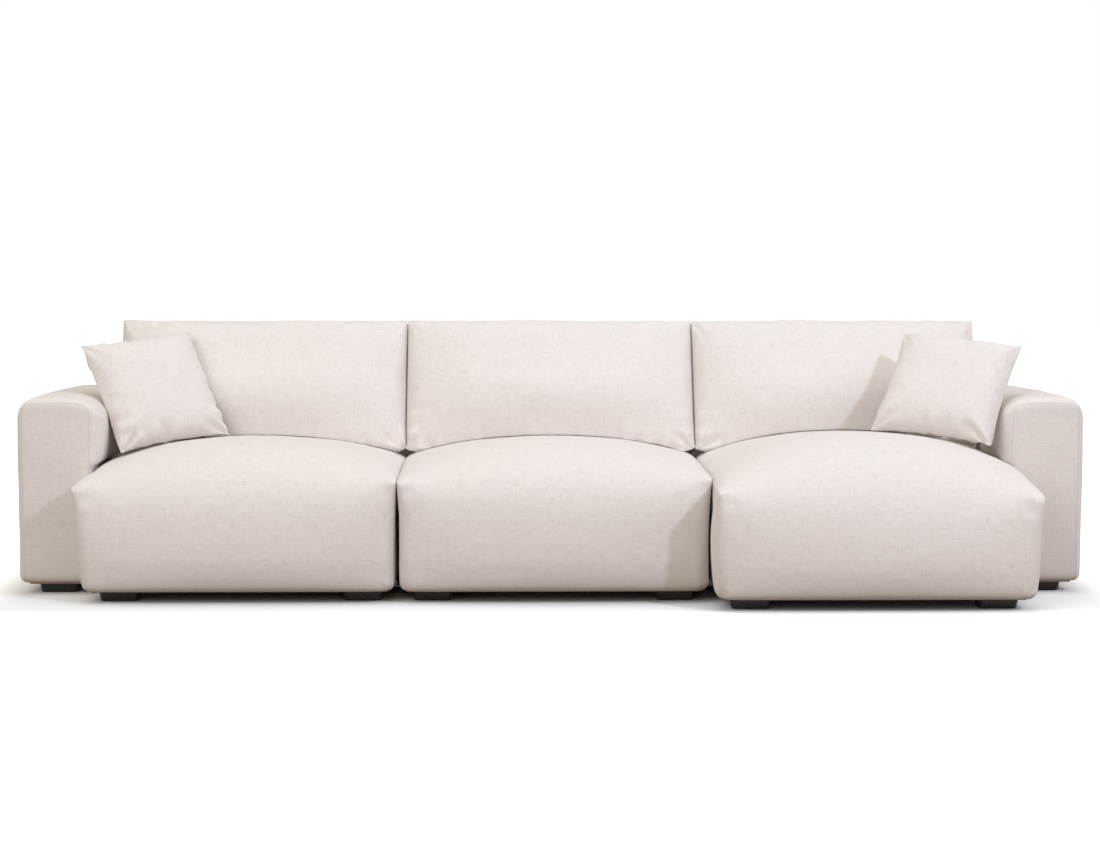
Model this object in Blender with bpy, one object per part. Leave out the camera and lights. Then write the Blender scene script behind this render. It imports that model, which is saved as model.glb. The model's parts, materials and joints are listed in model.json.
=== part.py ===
"""A three-seat modular sofa whose right end seat is a short chaise.

Each seat module is a timber base with a woven webbing deck, a foam core, a seat cover,
a framed back and four block feet. The two end modules carry an arm and drop onto pin rails
under the centre module. Three back cushions and two scatter cushions lie loose.
X runs along the sofa, Y from its front to its rear, Z up, in metres. The floor is Z = 0.
"""

import math

import bmesh
import bpy
from mathutils import Matrix, Vector
from mathutils.bvhtree import BVHTree

# Layout
SEAT_WIDTH = 0.949
SEAT_DEPTH = 1.000
CHAISE_DEPTH = 1.170
ARM_WIDTH = 0.226
ARM_DEPTH = 0.810
BACK_THICKNESS = 0.190
MODULE_GAP = 0.002
TOUCH_GAP = 0.0004
FRAME_GAP = 0.0008
NOTCH_SIDE_GAP = 0.0024

# Heights above the floor
FOOT_HEIGHT = 0.030
COVER_HEM_STEP = 0.001
DECK_HEIGHT = 0.180
SEAT_CROWN_HEIGHT = 0.478
CHAISE_CROWN_HEIGHT = 0.505
BACK_HEIGHT = 0.585
ARM_HEIGHT = 0.606

# Heights of each seat's side edges: left front, left rear, right front, right rear
LEFT_EDGE_HEIGHTS = (0.342, 0.400, 0.365, 0.390)
CENTRE_EDGE_HEIGHTS = (0.364, 0.390, 0.375, 0.390)
CHAISE_EDGE_HEIGHTS = (0.351, 0.380, 0.328, 0.415)

# Upholstery
COVER_WALL = 0.012
HEM_TUCK = 0.016
HEM_TURN = 0.030
HEM_TURN_TUCK = 0.004
SIDE_SHARES = (0.35, 0.72)
FRONT_ROLL = 0.340
FRONT_SWELL = 0.010
FRONT_EDGE_LIFT = 0.018
EDGE_POWER = 0.50
CROWN_SLOPE = 0.065
CROWN_POWER = 0.70
ROLL_POWER = 0.70
HEM_RADIUS = 0.028
INNER_RADIUS = 0.002
CORNER_RADIUS = 0.028
EAR_RADIUS = 0.006
TOP_INSETS = (0.012, 0.040, 0.100, 0.190, 0.300)
TOP_RADII = (0.012, 0.030, 0.050, 0.050, 0.050)
CORNER_STEPS = 2
SEAT_STEPS_ACROSS = 6
SEAT_STEPS_ALONG = 5

# Arms and backs
ARM_BULGE = 0.020
ARM_BULGE_FOOT = 0.440
ARM_RADIUS = 0.028
ARM_STEPS_ALONG = 6
SHOULDER_INSETS = (0.004, 0.016, 0.042, 0.078)
SHOULDER_DROPS = (0.041, 0.016, 0.005, 0.0)
BACK_SHOULDER_INSETS = (0.000, 0.014, 0.040)
BACK_SHOULDER_DROPS = (0.034, 0.010, 0.0)
BACK_RADIUS = 0.026

# Timber
BOARD = 0.025
CROSS_RAIL_DROP = 0.020
CROSS_RAILS = 2
BACK_POSTS = 4
ARM_POSTS = 4
PLINTH_RAIL = 0.060
TOP_RAIL = 0.070

# Webbing
STRAP_WIDTH = 0.070
STRAP_THICKNESS = 0.0025
STRAP_FUSE = 0.0001
STRAPS = 4
STRAP_SETBACK = 0.006

# Feet and the lining under each base
FOOT_WIDTH = 0.120
FOOT_LENGTH = 0.060
FOOT_CHAMFER = 0.008
FOOT_TAPER = 0.004
FOOT_GLIDE = 0.004
FOOT_SIDE_INSET = 0.045
FOOT_END_INSET = 0.065
ARM_FOOT_INSET = 0.050
LINING = 0.0015

# Pin rails that lock the modules together
RAIL_LENGTH = 0.300
RAIL_REACH = 0.060
RAIL_CLEARANCE = 0.012
RAIL_PLATE = 0.004
RAIL_FLOOR_GAP = 0.012
PIN_DIAMETER = 0.012
PIN_PITCH = 0.200
PIN_TIP_GAP = 0.002
PIN_CLEARANCE = 0.001
PIN_SIDES = 12

# Back cushions
BACK_CUSHION_HEIGHT = 0.470
BACK_CUSHION_SEAM_HEIGHT = 0.400
BACK_CUSHION_LEAN = 24.0
BACK_CUSHION_SET = 0.235
BACK_CUSHION_FRONT = 0.095
BACK_CUSHION_REAR = 0.150
BACK_CUSHION_SIDE_GAP = 0.0015
BACK_CUSHION_PINCH = 0.004
BACK_CUSHION_OVERHANG = 0.30
BACK_CUSHION_FLARE = 0.080
BACK_CUSHION_COLUMNS = 12
BACK_CUSHION_ROWS = 8
BED_WALL_SHARE = 1.5
REST_MARGIN = 0.0015

# Scatter cushions, their centres given across, before the back panel and up
SCATTER_SIDE = 0.383
SCATTER_THICKNESS = 0.130
SCATTER_PINCH = 0.008
SCATTER_CELLS = 8
SCATTER_PULL = Vector((0.30, -0.45, 0.84))
LEFT_SCATTER_CENTRE = (-1.266, -0.375, 0.606)
LEFT_SCATTER_TURN = (33.5, -32.4, -6.4)
RIGHT_SCATTER_CENTRE = (1.243, -0.495, 0.638)
RIGHT_SCATTER_TURN = (-25.2, -39.6, 6.6)

# Cushion cases
CASE_WALL = 0.004
CASE_GAP = 0.0005
ZIP_THICKNESS = 0.0025
PAD_CORNER_DRAW = 0.060
PILLOW_POWER = 0.58
ZIP_MARGIN_CELLS = 2
SCATTER_GAP = 0.0012
SETTLE_REACH = 0.120
SETTLE_STEPS = 26

# Places that follow from the sizes
REAR_Y = max(SEAT_DEPTH, CHAISE_DEPTH) / 2
PANEL_Y = REAR_Y - BACK_THICKNESS
HALF_SEAT = (SEAT_WIDTH - MODULE_GAP) / 2
HEM_Z = FOOT_HEIGHT + COVER_HEM_STEP
BASE_Z = FOOT_HEIGHT + LINING + 2 * TOUCH_GAP
FRAME_INSET = HEM_TUCK + COVER_WALL + FRAME_GAP
FRAME_HALF = HALF_SEAT - FRAME_INSET
STRAP_Z = DECK_HEIGHT + TOUCH_GAP + STRAP_THICKNESS / 2
FOAM_Z = STRAP_Z + STRAP_THICKNESS + TOUCH_GAP
BACK_FRAME_Z = DECK_HEIGHT + TOUCH_GAP
ARM_X = HALF_SEAT + TOUCH_GAP + ARM_WIDTH / 2

# Colours and finishes: base colour, roughness and metallic value
FINISHES = {
    "fabric": ((0.76, 0.71, 0.66), 0.90, 0.0),
    "lining": ((0.03, 0.03, 0.03), 0.95, 0.0),
    "webbing": ((0.10, 0.09, 0.08), 0.85, 0.0),
    "foam": ((0.86, 0.82, 0.66), 0.95, 0.0),
    "filling": ((0.90, 0.90, 0.88), 0.95, 0.0),
    "timber": ((0.62, 0.45, 0.27), 0.70, 0.0),
    "foot": ((0.015, 0.015, 0.015), 0.45, 0.0),
    "zip": ((0.62, 0.58, 0.53), 0.60, 0.0),
    "steel": ((0.25, 0.25, 0.26), 0.40, 1.0),
}


def clear_scene():
    for item in list(bpy.data.objects):
        bpy.data.objects.remove(item)


def material(name, finish):
    colour, roughness, metallic = FINISHES[finish]
    made = bpy.data.materials.new(name)
    made.use_nodes = True
    shader = made.node_tree.nodes["Principled BSDF"]
    shader.inputs["Base Color"].default_value = (*colour, 1.0)
    shader.inputs["Roughness"].default_value = roughness
    shader.inputs["Metallic"].default_value = metallic
    return made


def anchor(name, location, parent=None):
    """An empty that carries the pieces of one body, at its joint."""
    made = bpy.data.objects.new(name, None)
    bpy.context.scene.collection.objects.link(made)
    made.location = location
    made.parent = parent
    return made


class Surface:
    """A mesh that grows ring by ring, always split along the same diagonals."""

    def __init__(self):
        self.points = []
        self.faces = []

    def ring(self, points):
        start = len(self.points)
        self.points += [tuple(p) for p in points]
        return list(range(start, len(self.points)))

    def face(self, corners, inward=False):
        self.faces.append(tuple(reversed(corners)) if inward else tuple(corners))

    def quad(self, a, b, c, d, inward=False):
        self.face((a, b, c), inward)
        self.face((a, c, d), inward)

    def band(self, lower, upper, inward=False):
        for i, a in enumerate(lower):
            j = (i + 1) % len(lower)
            self.quad(a, lower[j], upper[j], upper[i], inward)

    def cap(self, ring, apex, inward=False):
        tip = self.ring([apex])[0]
        for i, a in enumerate(ring):
            self.face((a, ring[(i + 1) % len(ring)], tip), inward)

    def mesh(self, name):
        made = bpy.data.meshes.new(name)
        made.from_pydata(self.points, [], self.faces)
        made.validate()
        return made


def piece(name, mesh, finish, parent, location=(0, 0, 0), smooth=False):
    """Links a named sub-part with its own material."""
    mesh.name = name
    mesh.materials.clear()
    mesh.materials.append(material(name, finish))
    if smooth:
        mesh.shade_smooth()
        mesh.set_sharp_from_angle(angle=math.radians(50))
    made = bpy.data.objects.new(name, mesh)
    bpy.context.scene.collection.objects.link(made)
    made.location = location
    made.parent = parent
    return made


def combined(name, base, tool, operation):
    """The mesh of two solids joined, or of one cut by the other."""
    first = bpy.data.objects.new(name, base)
    second = bpy.data.objects.new(name + "_tool", tool)
    for item in (first, second):
        bpy.context.scene.collection.objects.link(item)
    modifier = first.modifiers.new("shape", "BOOLEAN")
    modifier.object = second
    modifier.operation = operation
    modifier.solver = "EXACT"
    bpy.context.view_layer.update()
    shown = first.evaluated_get(bpy.context.evaluated_depsgraph_get())
    result = bpy.data.meshes.new_from_object(shown)
    for item in (first, second):
        bpy.data.objects.remove(item)
    return result


def block(name, low, high):
    """A plain box between two corners."""
    surface = Surface()
    lower, upper = (
        surface.ring(
            [(low[0], low[1], z), (high[0], low[1], z), (high[0], high[1], z), (low[0], high[1], z)]
        )
        for z in (low[2], high[2])
    )
    surface.band(lower, upper)
    surface.quad(*upper)
    surface.quad(*lower, inward=True)
    return surface.mesh(name)


def boards(name, xs, ys, zs, filled):
    """A timber frame: the filled cells between board lines in X, Y and Z, as one solid."""
    shape = bmesh.new()
    corners = {}

    def corner(i, j, k):
        if (i, j, k) not in corners:
            corners[i, j, k] = shape.verts.new((xs[i], ys[j], zs[k]))
        return corners[i, j, k]

    sides = (
        ((1, 0, 0), ((1, 0, 0), (1, 1, 0), (1, 1, 1), (1, 0, 1))),
        ((-1, 0, 0), ((0, 0, 0), (0, 0, 1), (0, 1, 1), (0, 1, 0))),
        ((0, 1, 0), ((0, 1, 0), (0, 1, 1), (1, 1, 1), (1, 1, 0))),
        ((0, -1, 0), ((0, 0, 0), (1, 0, 0), (1, 0, 1), (0, 0, 1))),
        ((0, 0, 1), ((0, 0, 1), (1, 0, 1), (1, 1, 1), (0, 1, 1))),
        ((0, 0, -1), ((0, 0, 0), (0, 1, 0), (1, 1, 0), (1, 0, 0))),
    )
    cells = {
        (i, j, k)
        for i in range(len(xs) - 1)
        for j in range(len(ys) - 1)
        for k in range(len(zs) - 1)
        if filled(i, j, k)
    }
    for i, j, k in sorted(cells):
        for (di, dj, dk), face in sides:
            if (i + di, j + dj, k + dk) not in cells:
                shape.faces.new([corner(i + a, j + b, k + c) for a, b, c in face])
    bmesh.ops.dissolve_limit(
        shape, angle_limit=math.radians(0.5), verts=shape.verts, edges=shape.edges
    )
    made = bpy.data.meshes.new(name)
    shape.to_mesh(made)
    shape.free()
    return made


def board_lines(low, high, inner_boards):
    """Board edges along a line: a board at each end and evenly spaced boards between."""
    pitch = (high - low - BOARD) / (inner_boards + 1)
    lines = []
    for i in range(inner_boards + 2):
        lines += [low + i * pitch, low + i * pitch + BOARD]
    return lines


def round_outline(half_x, front, rear, radius, across, along):
    """Plan points of a rectangle with round corners, anticlockwise from its front right."""
    arcs = []
    for sign_x, y, start in ((1, front, -90), (1, rear, 0), (-1, rear, 90), (-1, front, 180)):
        inward = radius if y == front else -radius
        arc = []
        for step in range(CORNER_STEPS + 1):
            angle = math.radians(start + 90 * step / CORNER_STEPS)
            x = sign_x * (half_x - radius) + radius * math.cos(angle)
            arc.append(Vector((x, y + inward + radius * math.sin(angle), 0)))
        arcs.append(arc)
    points = []
    for i, steps in enumerate((along, across, along, across)):
        points += arcs[i]
        end = arcs[(i + 1) % 4][0]
        points += [arcs[i][-1].lerp(end, step / steps) for step in range(1, steps)]
    return points


def shell(name, outer, inner, outer_tip, inner_tip):
    """An upholstery cover: outer and inner skins that meet at an open hem underneath."""
    surface = Surface()
    outer_rings = [surface.ring(r) for r in outer]
    inner_rings = [surface.ring(r) for r in inner]
    surface.band(inner_rings[0], outer_rings[0])
    for lower, upper in zip(outer_rings, outer_rings[1:]):
        surface.band(lower, upper)
    for lower, upper in zip(inner_rings, inner_rings[1:]):
        surface.band(lower, upper, inward=True)
    surface.cap(outer_rings[-1], outer_tip)
    surface.cap(inner_rings[-1], inner_tip, inward=True)
    return surface.mesh(name)


class Seat:
    """The soft outline of one seat, in its module's frame."""

    def __init__(self, depth, edges, crown):
        self.front = REAR_Y - depth
        self.rear = PANEL_Y - TOUCH_GAP
        self.edges = edges
        self.crown = crown

    def top(self, x, y):
        """Height of the seat: pointed front corners, a rolled front and a crowned middle."""
        depth = self.rear - self.front
        back = min(max((y - self.front) / depth, 0.0), 1.0)
        side = min(max(1 - abs(x) / HALF_SEAT, 0.0), 1.0)
        roll = min(max((y - self.front) / FRONT_ROLL, 0.0), 1.0)
        middle = 1 - (1 - side) ** 2
        left_front, left_rear, right_front, right_rear = self.edges
        left = left_front + (left_rear - left_front) * back**EDGE_POWER
        right = right_front + (right_rear - right_front) * back**EDGE_POWER
        across = min(max(0.5 + x / (2 * HALF_SEAT), 0.0), 1.0)
        edge = left + (right - left) * across + FRONT_EDGE_LIFT * middle * (1 - roll)
        crown = self.crown - CROWN_SLOPE * max(y - self.front - FRONT_ROLL, 0.0)
        rise = middle**CROWN_POWER * (1 - (1 - roll) ** 2) ** ROLL_POWER
        return edge + (crown - edge) * rise

    def outline(self, inset, radius, swell=0.0):
        return round_outline(
            HALF_SEAT - inset,
            self.front + FRONT_SWELL - swell + inset,
            self.rear - inset,
            radius,
            SEAT_STEPS_ACROSS,
            SEAT_STEPS_ALONG,
        )

    def level(self, height, inset, radius, swell=0.0):
        """A ring at one height."""
        return [Vector((p.x, p.y, height)) for p in self.outline(inset, radius, swell)]

    def crown_ring(self, top_inset, radius, offset):
        """A ring on the seat's top, sunk by an offset under the outer skin."""
        shown = self.outline(top_inset, radius)
        sunk = self.outline(top_inset + offset, radius)
        return [Vector((s.x, s.y, self.top(p.x, p.y) - offset)) for p, s in zip(shown, sunk)]

    def tip(self, offset):
        middle = (self.front + FRONT_SWELL + self.rear) / 2
        return Vector((0, middle, self.top(0, middle) - offset))

    def outer_rings(self):
        ear = self.crown_ring(0, EAR_RADIUS, 0)
        low = HEM_Z + HEM_TURN
        rings = [
            self.level(HEM_Z, HEM_TUCK, HEM_RADIUS),
            self.level(low, HEM_TURN_TUCK, HEM_RADIUS),
        ]
        for share in SIDE_SHARES:
            side = self.outline(0, CORNER_RADIUS, FRONT_SWELL)
            rings.append(
                [Vector((s.x, s.y, low + share * (e.z - low))) for s, e in zip(side, ear)]
            )
        rings.append(ear)
        for inset, radius in zip(TOP_INSETS, TOP_RADII):
            rings.append(self.crown_ring(inset, radius, 0))
        return rings

    def inner_rings(self, offset):
        """Fewer rings that run at an offset inside the outer skin, from hem and deck upwards."""
        hem = self.level(HEM_Z, HEM_TUCK + offset, INNER_RADIUS)
        ear = self.crown_ring(0, INNER_RADIUS, offset)
        deck = [h.lerp(e, (FOAM_Z - h.z) / (e.z - h.z)) for h, e in zip(hem, ear)]
        rings = [hem, deck, ear]
        for inset, radius in list(zip(TOP_INSETS, TOP_RADII))[1::2]:
            rings.append(self.crown_ring(inset, radius, offset))
        return rings


def seat_cover(name, seat, parent):
    """The seat's upholstery, notched at its rear hem for the base to pass under the back."""
    mesh = shell(
        name, seat.outer_rings(), seat.inner_rings(COVER_WALL), seat.tip(0), seat.tip(COVER_WALL)
    )
    depth = HEM_TUCK + COVER_WALL + 4 * TOUCH_GAP
    notch = base_notch(name, seat.rear - depth, seat.rear + TOUCH_GAP / 2 + BOARD)
    return piece(name, combined(name, mesh, notch, "DIFFERENCE"), "fabric", parent, smooth=True)


def base_notch(name, near, far):
    """The space that a timber base needs where it runs through an upholstery wall."""
    half = FRAME_HALF + NOTCH_SIDE_GAP
    return block(name + "_notch", (-half, near, 0), (half, far, DECK_HEIGHT + TOUCH_GAP))


def foam_core(name, seat, parent):
    """The foam that fills a seat cover above its webbing."""
    rings = seat.inner_rings(COVER_WALL + TOUCH_GAP)[1:]
    surface = Surface()
    indices = [surface.ring(r) for r in rings]
    for lower, upper in zip(indices, indices[1:]):
        surface.band(lower, upper)
    surface.cap(indices[-1], seat.tip(COVER_WALL + TOUCH_GAP))
    middle = seat.tip(0)
    surface.cap(indices[0], (0, middle.y, FOAM_Z), inward=True)
    return piece(name, surface.mesh(name), "foam", parent, smooth=True)


def base_lines(seat):
    """Y lines of a base's front rail, deck rail and rear rail."""
    front = seat.front + FRONT_SWELL + FRAME_INSET
    rear = REAR_Y - FRAME_INSET
    deck = PANEL_Y - FRAME_INSET
    return [front, front + BOARD, deck - BOARD, deck, rear - BOARD, rear]


def base_frame(name, seat, parent):
    """A board-on-edge base: side, front, deck and rear rails, and lower cross rails."""
    xs = board_lines(-FRAME_HALF, FRAME_HALF, CROSS_RAILS)
    ys = base_lines(seat)
    zs = [BASE_Z, DECK_HEIGHT - CROSS_RAIL_DROP, DECK_HEIGHT]
    last_x = len(xs) - 2

    def filled(i, j, k):
        if i in (0, last_x) or j in (0, 2, 4):
            return True
        return i % 2 == 0 and j == 1 and k == 0

    return piece(name, boards(name, xs, ys, zs, filled), "timber", parent)


def strap(surface, start, end, centre, crossings, lengthwise, first_over):
    """One elastic strap that passes over and under those it crosses."""
    half = STRAP_WIDTH / 2
    wave = STRAP_THICKNESS / 2 - STRAP_FUSE / 2
    stations = [(start, 0.0)]
    for i, at in enumerate(crossings):
        lift = wave if (i % 2 == 0) == first_over else -wave
        stations += [(at - half, lift), (at + half, lift)]
    stations.append((end, 0.0))
    rings = []
    for along, lift in stations:
        corners = []
        for across, up in ((-1, -1), (1, -1), (1, 1), (-1, 1)):
            side = centre + across * half * (1 if lengthwise else -1)
            z = STRAP_Z + lift + up * STRAP_THICKNESS / 2
            corners.append((side, along, z) if lengthwise else (along, side, z))
        rings.append(surface.ring(corners))
    for lower, upper in zip(rings, rings[1:]):
        surface.band(lower, upper, inward=True)
    surface.quad(*rings[-1], inward=True)
    surface.quad(*rings[0])


def spread(low, high, count):
    """Evenly spaced centres with half a space at each end."""
    return [low + (high - low) * (i + 0.5) / count for i in range(count)]


def webbing(name, seat, parent):
    """The woven deck: straps stapled to the rails and sewn where they cross."""
    ys = base_lines(seat)
    across = spread(-FRAME_HALF + BOARD, FRAME_HALF - BOARD, STRAPS)
    along = spread(ys[1], ys[2], STRAPS)
    warp, weft = Surface(), Surface()
    for i, x in enumerate(across):
        ends = (ys[0] + STRAP_SETBACK, ys[3] - STRAP_SETBACK)
        strap(warp, *ends, x, along, True, i % 2 == 0)
    for i, y in enumerate(along):
        ends = (-FRAME_HALF + STRAP_SETBACK, FRAME_HALF - STRAP_SETBACK)
        strap(weft, *ends, y, across, False, i % 2 == 1)
    mesh = combined(name, warp.mesh(name + "_warp"), weft.mesh(name + "_weft"), "UNION")
    return piece(name, mesh, "webbing", parent)


def lining(name, seat, parent):
    """The thin cloth that closes a base underneath."""
    ys = base_lines(seat)
    z = FOOT_HEIGHT + TOUCH_GAP
    mesh = block(name, (-FRAME_HALF, ys[0], z), (FRAME_HALF, ys[-1], z + LINING))
    return piece(name, mesh, "lining", parent)


def foot(name, x, y, parent, height=FOOT_HEIGHT):
    """A chamfered block foot that tapers to a glide."""
    surface = Surface()
    rings = []
    for z, shrink in ((0, FOOT_TAPER + FOOT_GLIDE / 2), (FOOT_GLIDE, FOOT_TAPER), (height, 0)):
        half_x = FOOT_WIDTH / 2 - shrink
        half_y = FOOT_LENGTH / 2 - shrink
        cut = FOOT_CHAMFER
        rings.append(
            surface.ring(
                [
                    (half_x - cut, -half_y, z),
                    (half_x, -half_y + cut, z),
                    (half_x, half_y - cut, z),
                    (half_x - cut, half_y, z),
                    (-half_x + cut, half_y, z),
                    (-half_x, half_y - cut, z),
                    (-half_x, -half_y + cut, z),
                    (-half_x + cut, -half_y, z),
                ]
            )
        )
    for lower, upper in zip(rings, rings[1:]):
        surface.band(lower, upper)
    surface.face(rings[-1])
    surface.face(rings[0], inward=True)
    return piece(name, surface.mesh(name), "foot", parent, (x, y, 0))


def back_rings(offset, coarse):
    """Rings of a framed back, inside its outer skin by an offset."""
    levels = [(HEM_Z, HEM_TUCK, 0.0)]
    if not coarse:
        levels.append((HEM_Z + HEM_TURN, HEM_TURN_TUCK, 0.0))
    for i, (inset, drop) in enumerate(zip(BACK_SHOULDER_INSETS, BACK_SHOULDER_DROPS)):
        if not coarse or i != 0:
            levels.append((BACK_HEIGHT - drop, inset, offset))
    rings = []
    for z, inset, sink in levels:
        plan = round_outline(
            HALF_SEAT - inset - offset,
            PANEL_Y + TOUCH_GAP + inset + offset,
            REAR_Y - inset - offset,
            INNER_RADIUS if coarse else BACK_RADIUS,
            2,
            1,
        )
        rings.append([Vector((p.x, p.y, z - sink)) for p in plan])
    return rings


def back_cover(name, parent):
    """The upholstered back, open underneath and notched over the base."""
    middle = (PANEL_Y + REAR_Y) / 2
    mesh = shell(
        name,
        back_rings(0, False),
        back_rings(COVER_WALL, True),
        (0, middle, BACK_HEIGHT),
        (0, middle, BACK_HEIGHT - COVER_WALL),
    )
    near = PANEL_Y + TOUCH_GAP - BOARD
    far = PANEL_Y + HEM_TUCK + COVER_WALL + 4 * TOUCH_GAP
    notch = base_notch(name, near, far)
    return piece(name, combined(name, mesh, notch, "DIFFERENCE"), "fabric", parent, smooth=True)


def back_frame(name, parent):
    """A ladder frame that stands on the base's side and rear rails."""
    top = BACK_HEIGHT - COVER_WALL - BACK_SHOULDER_DROPS[0] - TOUCH_GAP
    xs = board_lines(-FRAME_HALF, FRAME_HALF, BACK_POSTS - 2)
    ys = [PANEL_Y + FRAME_INSET, REAR_Y - FRAME_INSET]
    zs = [BACK_FRAME_Z, BACK_FRAME_Z + PLINTH_RAIL, top - TOP_RAIL, top]

    def filled(i, j, k):
        return i % 2 == 0 or k in (0, 2)

    return piece(name, boards(name, xs, ys, zs, filled), "timber", parent)


def arm_bulge(x, y, z, inner):
    """How far the soft inner face of an arm swells over the seat, at a point of its skin."""
    top = ARM_HEIGHT - SHOULDER_DROPS[0]
    rise = min(max((z - ARM_BULGE_FOOT) / (top - ARM_BULGE_FOOT), 0.0), 1.0)
    share = math.sin(math.pi * min(rise, 1.0)) if z < top else 0.0
    facing = max(inner * x / (ARM_WIDTH / 2), 0.0)
    front = REAR_Y - ARM_DEPTH
    rear = PANEL_Y - ARM_DEPTH / ARM_STEPS_ALONG
    ends = 1 - abs(2 * (y - front) / (rear - front) - 1) ** 4
    return inner * ARM_BULGE * share * facing**2 * max(ends, 0.0)


def arm_rings(offset, inner, coarse):
    """Rings of an arm in its own frame, whose inner side faces +X or -X."""
    middle = (ARM_BULGE_FOOT + ARM_HEIGHT - SHOULDER_DROPS[0]) / 2
    levels = [(HEM_Z, HEM_TUCK, 0.0)]
    if not coarse:
        levels.append((HEM_Z + HEM_TURN, HEM_TURN_TUCK, 0.0))
        levels.append(((HEM_Z + ARM_BULGE_FOOT) / 2, 0.0, 0.0))
    levels.append((ARM_BULGE_FOOT, 0.0, 0.0))
    levels.append((middle, 0.0, 0.0))
    for i, (inset, drop) in enumerate(zip(SHOULDER_INSETS, SHOULDER_DROPS)):
        if not coarse or i != 1:
            levels.append((ARM_HEIGHT - drop, inset, offset))
    rings = []
    for z, inset, sink in levels:
        half = ARM_WIDTH / 2 - inset - offset
        front = REAR_Y - ARM_DEPTH + inset + offset
        radius = INNER_RADIUS if coarse else min(ARM_RADIUS, half)
        plan = round_outline(half, front, REAR_Y - inset - offset, radius, 2, ARM_STEPS_ALONG)
        rings.append([Vector((p.x + arm_bulge(p.x, p.y, z, inner), p.y, z - sink)) for p in plan])
    return rings


def arm_cover(name, inner, parent, x):
    """The padded arm, crowned on top and swelling over the seat."""
    middle = REAR_Y - ARM_DEPTH / 2
    mesh = shell(
        name,
        arm_rings(0, inner, False),
        arm_rings(COVER_WALL, inner, True),
        (0, middle, ARM_HEIGHT),
        (0, middle, ARM_HEIGHT - COVER_WALL),
    )
    return piece(name, mesh, "fabric", parent, (x, 0, 0), smooth=True)


def arm_frame(name, parent, x):
    """The boards inside an arm, on its own two feet."""
    half = ARM_WIDTH / 2 - FRAME_INSET
    top = ARM_HEIGHT - SHOULDER_DROPS[0] - COVER_WALL - TOUCH_GAP
    ys = board_lines(REAR_Y - ARM_DEPTH + FRAME_INSET, REAR_Y - FRAME_INSET, ARM_POSTS - 2)
    low = FOOT_HEIGHT + TOUCH_GAP
    zs = [low, low + PLINTH_RAIL, top - TOP_RAIL, top]

    def filled(i, j, k):
        return j % 2 == 0 or k in (0, 2)

    mesh = boards(name, [-half, half], ys, zs, filled)
    return piece(name, mesh, "timber", parent, (x, 0, 0))


def pin_rail(name, parent, side):
    """A plate under the centre module whose upright pins hold the next module."""
    face = side * SEAT_WIDTH / 2
    plate_top = RAIL_FLOOR_GAP + RAIL_PLATE
    body = block(
        name,
        (-RAIL_REACH, -RAIL_LENGTH / 2, RAIL_FLOOR_GAP),
        (RAIL_REACH, RAIL_LENGTH / 2, plate_top),
    )
    heel = block(
        name + "_heel",
        (-RAIL_REACH, -RAIL_LENGTH / 2, plate_top - RAIL_PLATE / 2),
        (-RAIL_CLEARANCE, RAIL_LENGTH / 2, FOOT_HEIGHT),
    )
    body = combined(name, body, heel, "UNION")
    for shift in (-PIN_PITCH / 2, PIN_PITCH / 2):
        root = plate_top - RAIL_PLATE / 2
        pin = rod(name + "_pin", PIN_DIAMETER / 2, shift, root, FOOT_HEIGHT - PIN_TIP_GAP)
        body = combined(name, body, pin, "UNION")
    made = piece(name, body, "steel", parent, (face, 0, 0))
    made.rotation_euler = (0, 0, 0 if side > 0 else math.pi)
    return made


def rod(name, radius, y, low, high):
    """An upright round bar at the middle of a rail's far half."""
    surface = Surface()
    x = (RAIL_REACH + RAIL_CLEARANCE) / 2
    rings = []
    for z in (low, high):
        turn = [2 * math.pi * i / PIN_SIDES for i in range(PIN_SIDES)]
        rings.append(
            surface.ring([(x + radius * math.cos(a), y + radius * math.sin(a), z) for a in turn])
        )
    surface.band(*rings)
    surface.face(rings[1])
    surface.face(rings[0], inward=True)
    return surface.mesh(name)


def socket_rail(name, parent, side):
    """The drilled bar under an end module that drops over the pins."""
    low = RAIL_FLOOR_GAP + RAIL_PLATE + TOUCH_GAP
    body = block(
        name,
        (RAIL_CLEARANCE, -RAIL_LENGTH / 2, low),
        (RAIL_REACH, RAIL_LENGTH / 2, FOOT_HEIGHT),
    )
    for shift in (-PIN_PITCH / 2, PIN_PITCH / 2):
        radius = PIN_DIAMETER / 2 + PIN_CLEARANCE
        hole = rod(name + "_hole", radius, shift, 0, FOOT_HEIGHT + RAIL_PLATE)
        body = combined(name, body, hole, "DIFFERENCE")
    made = piece(name, body, "steel", parent, (-side * SEAT_WIDTH / 2, 0, 0))
    made.rotation_euler = (0, 0, 0 if side > 0 else math.pi)
    return made


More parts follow.
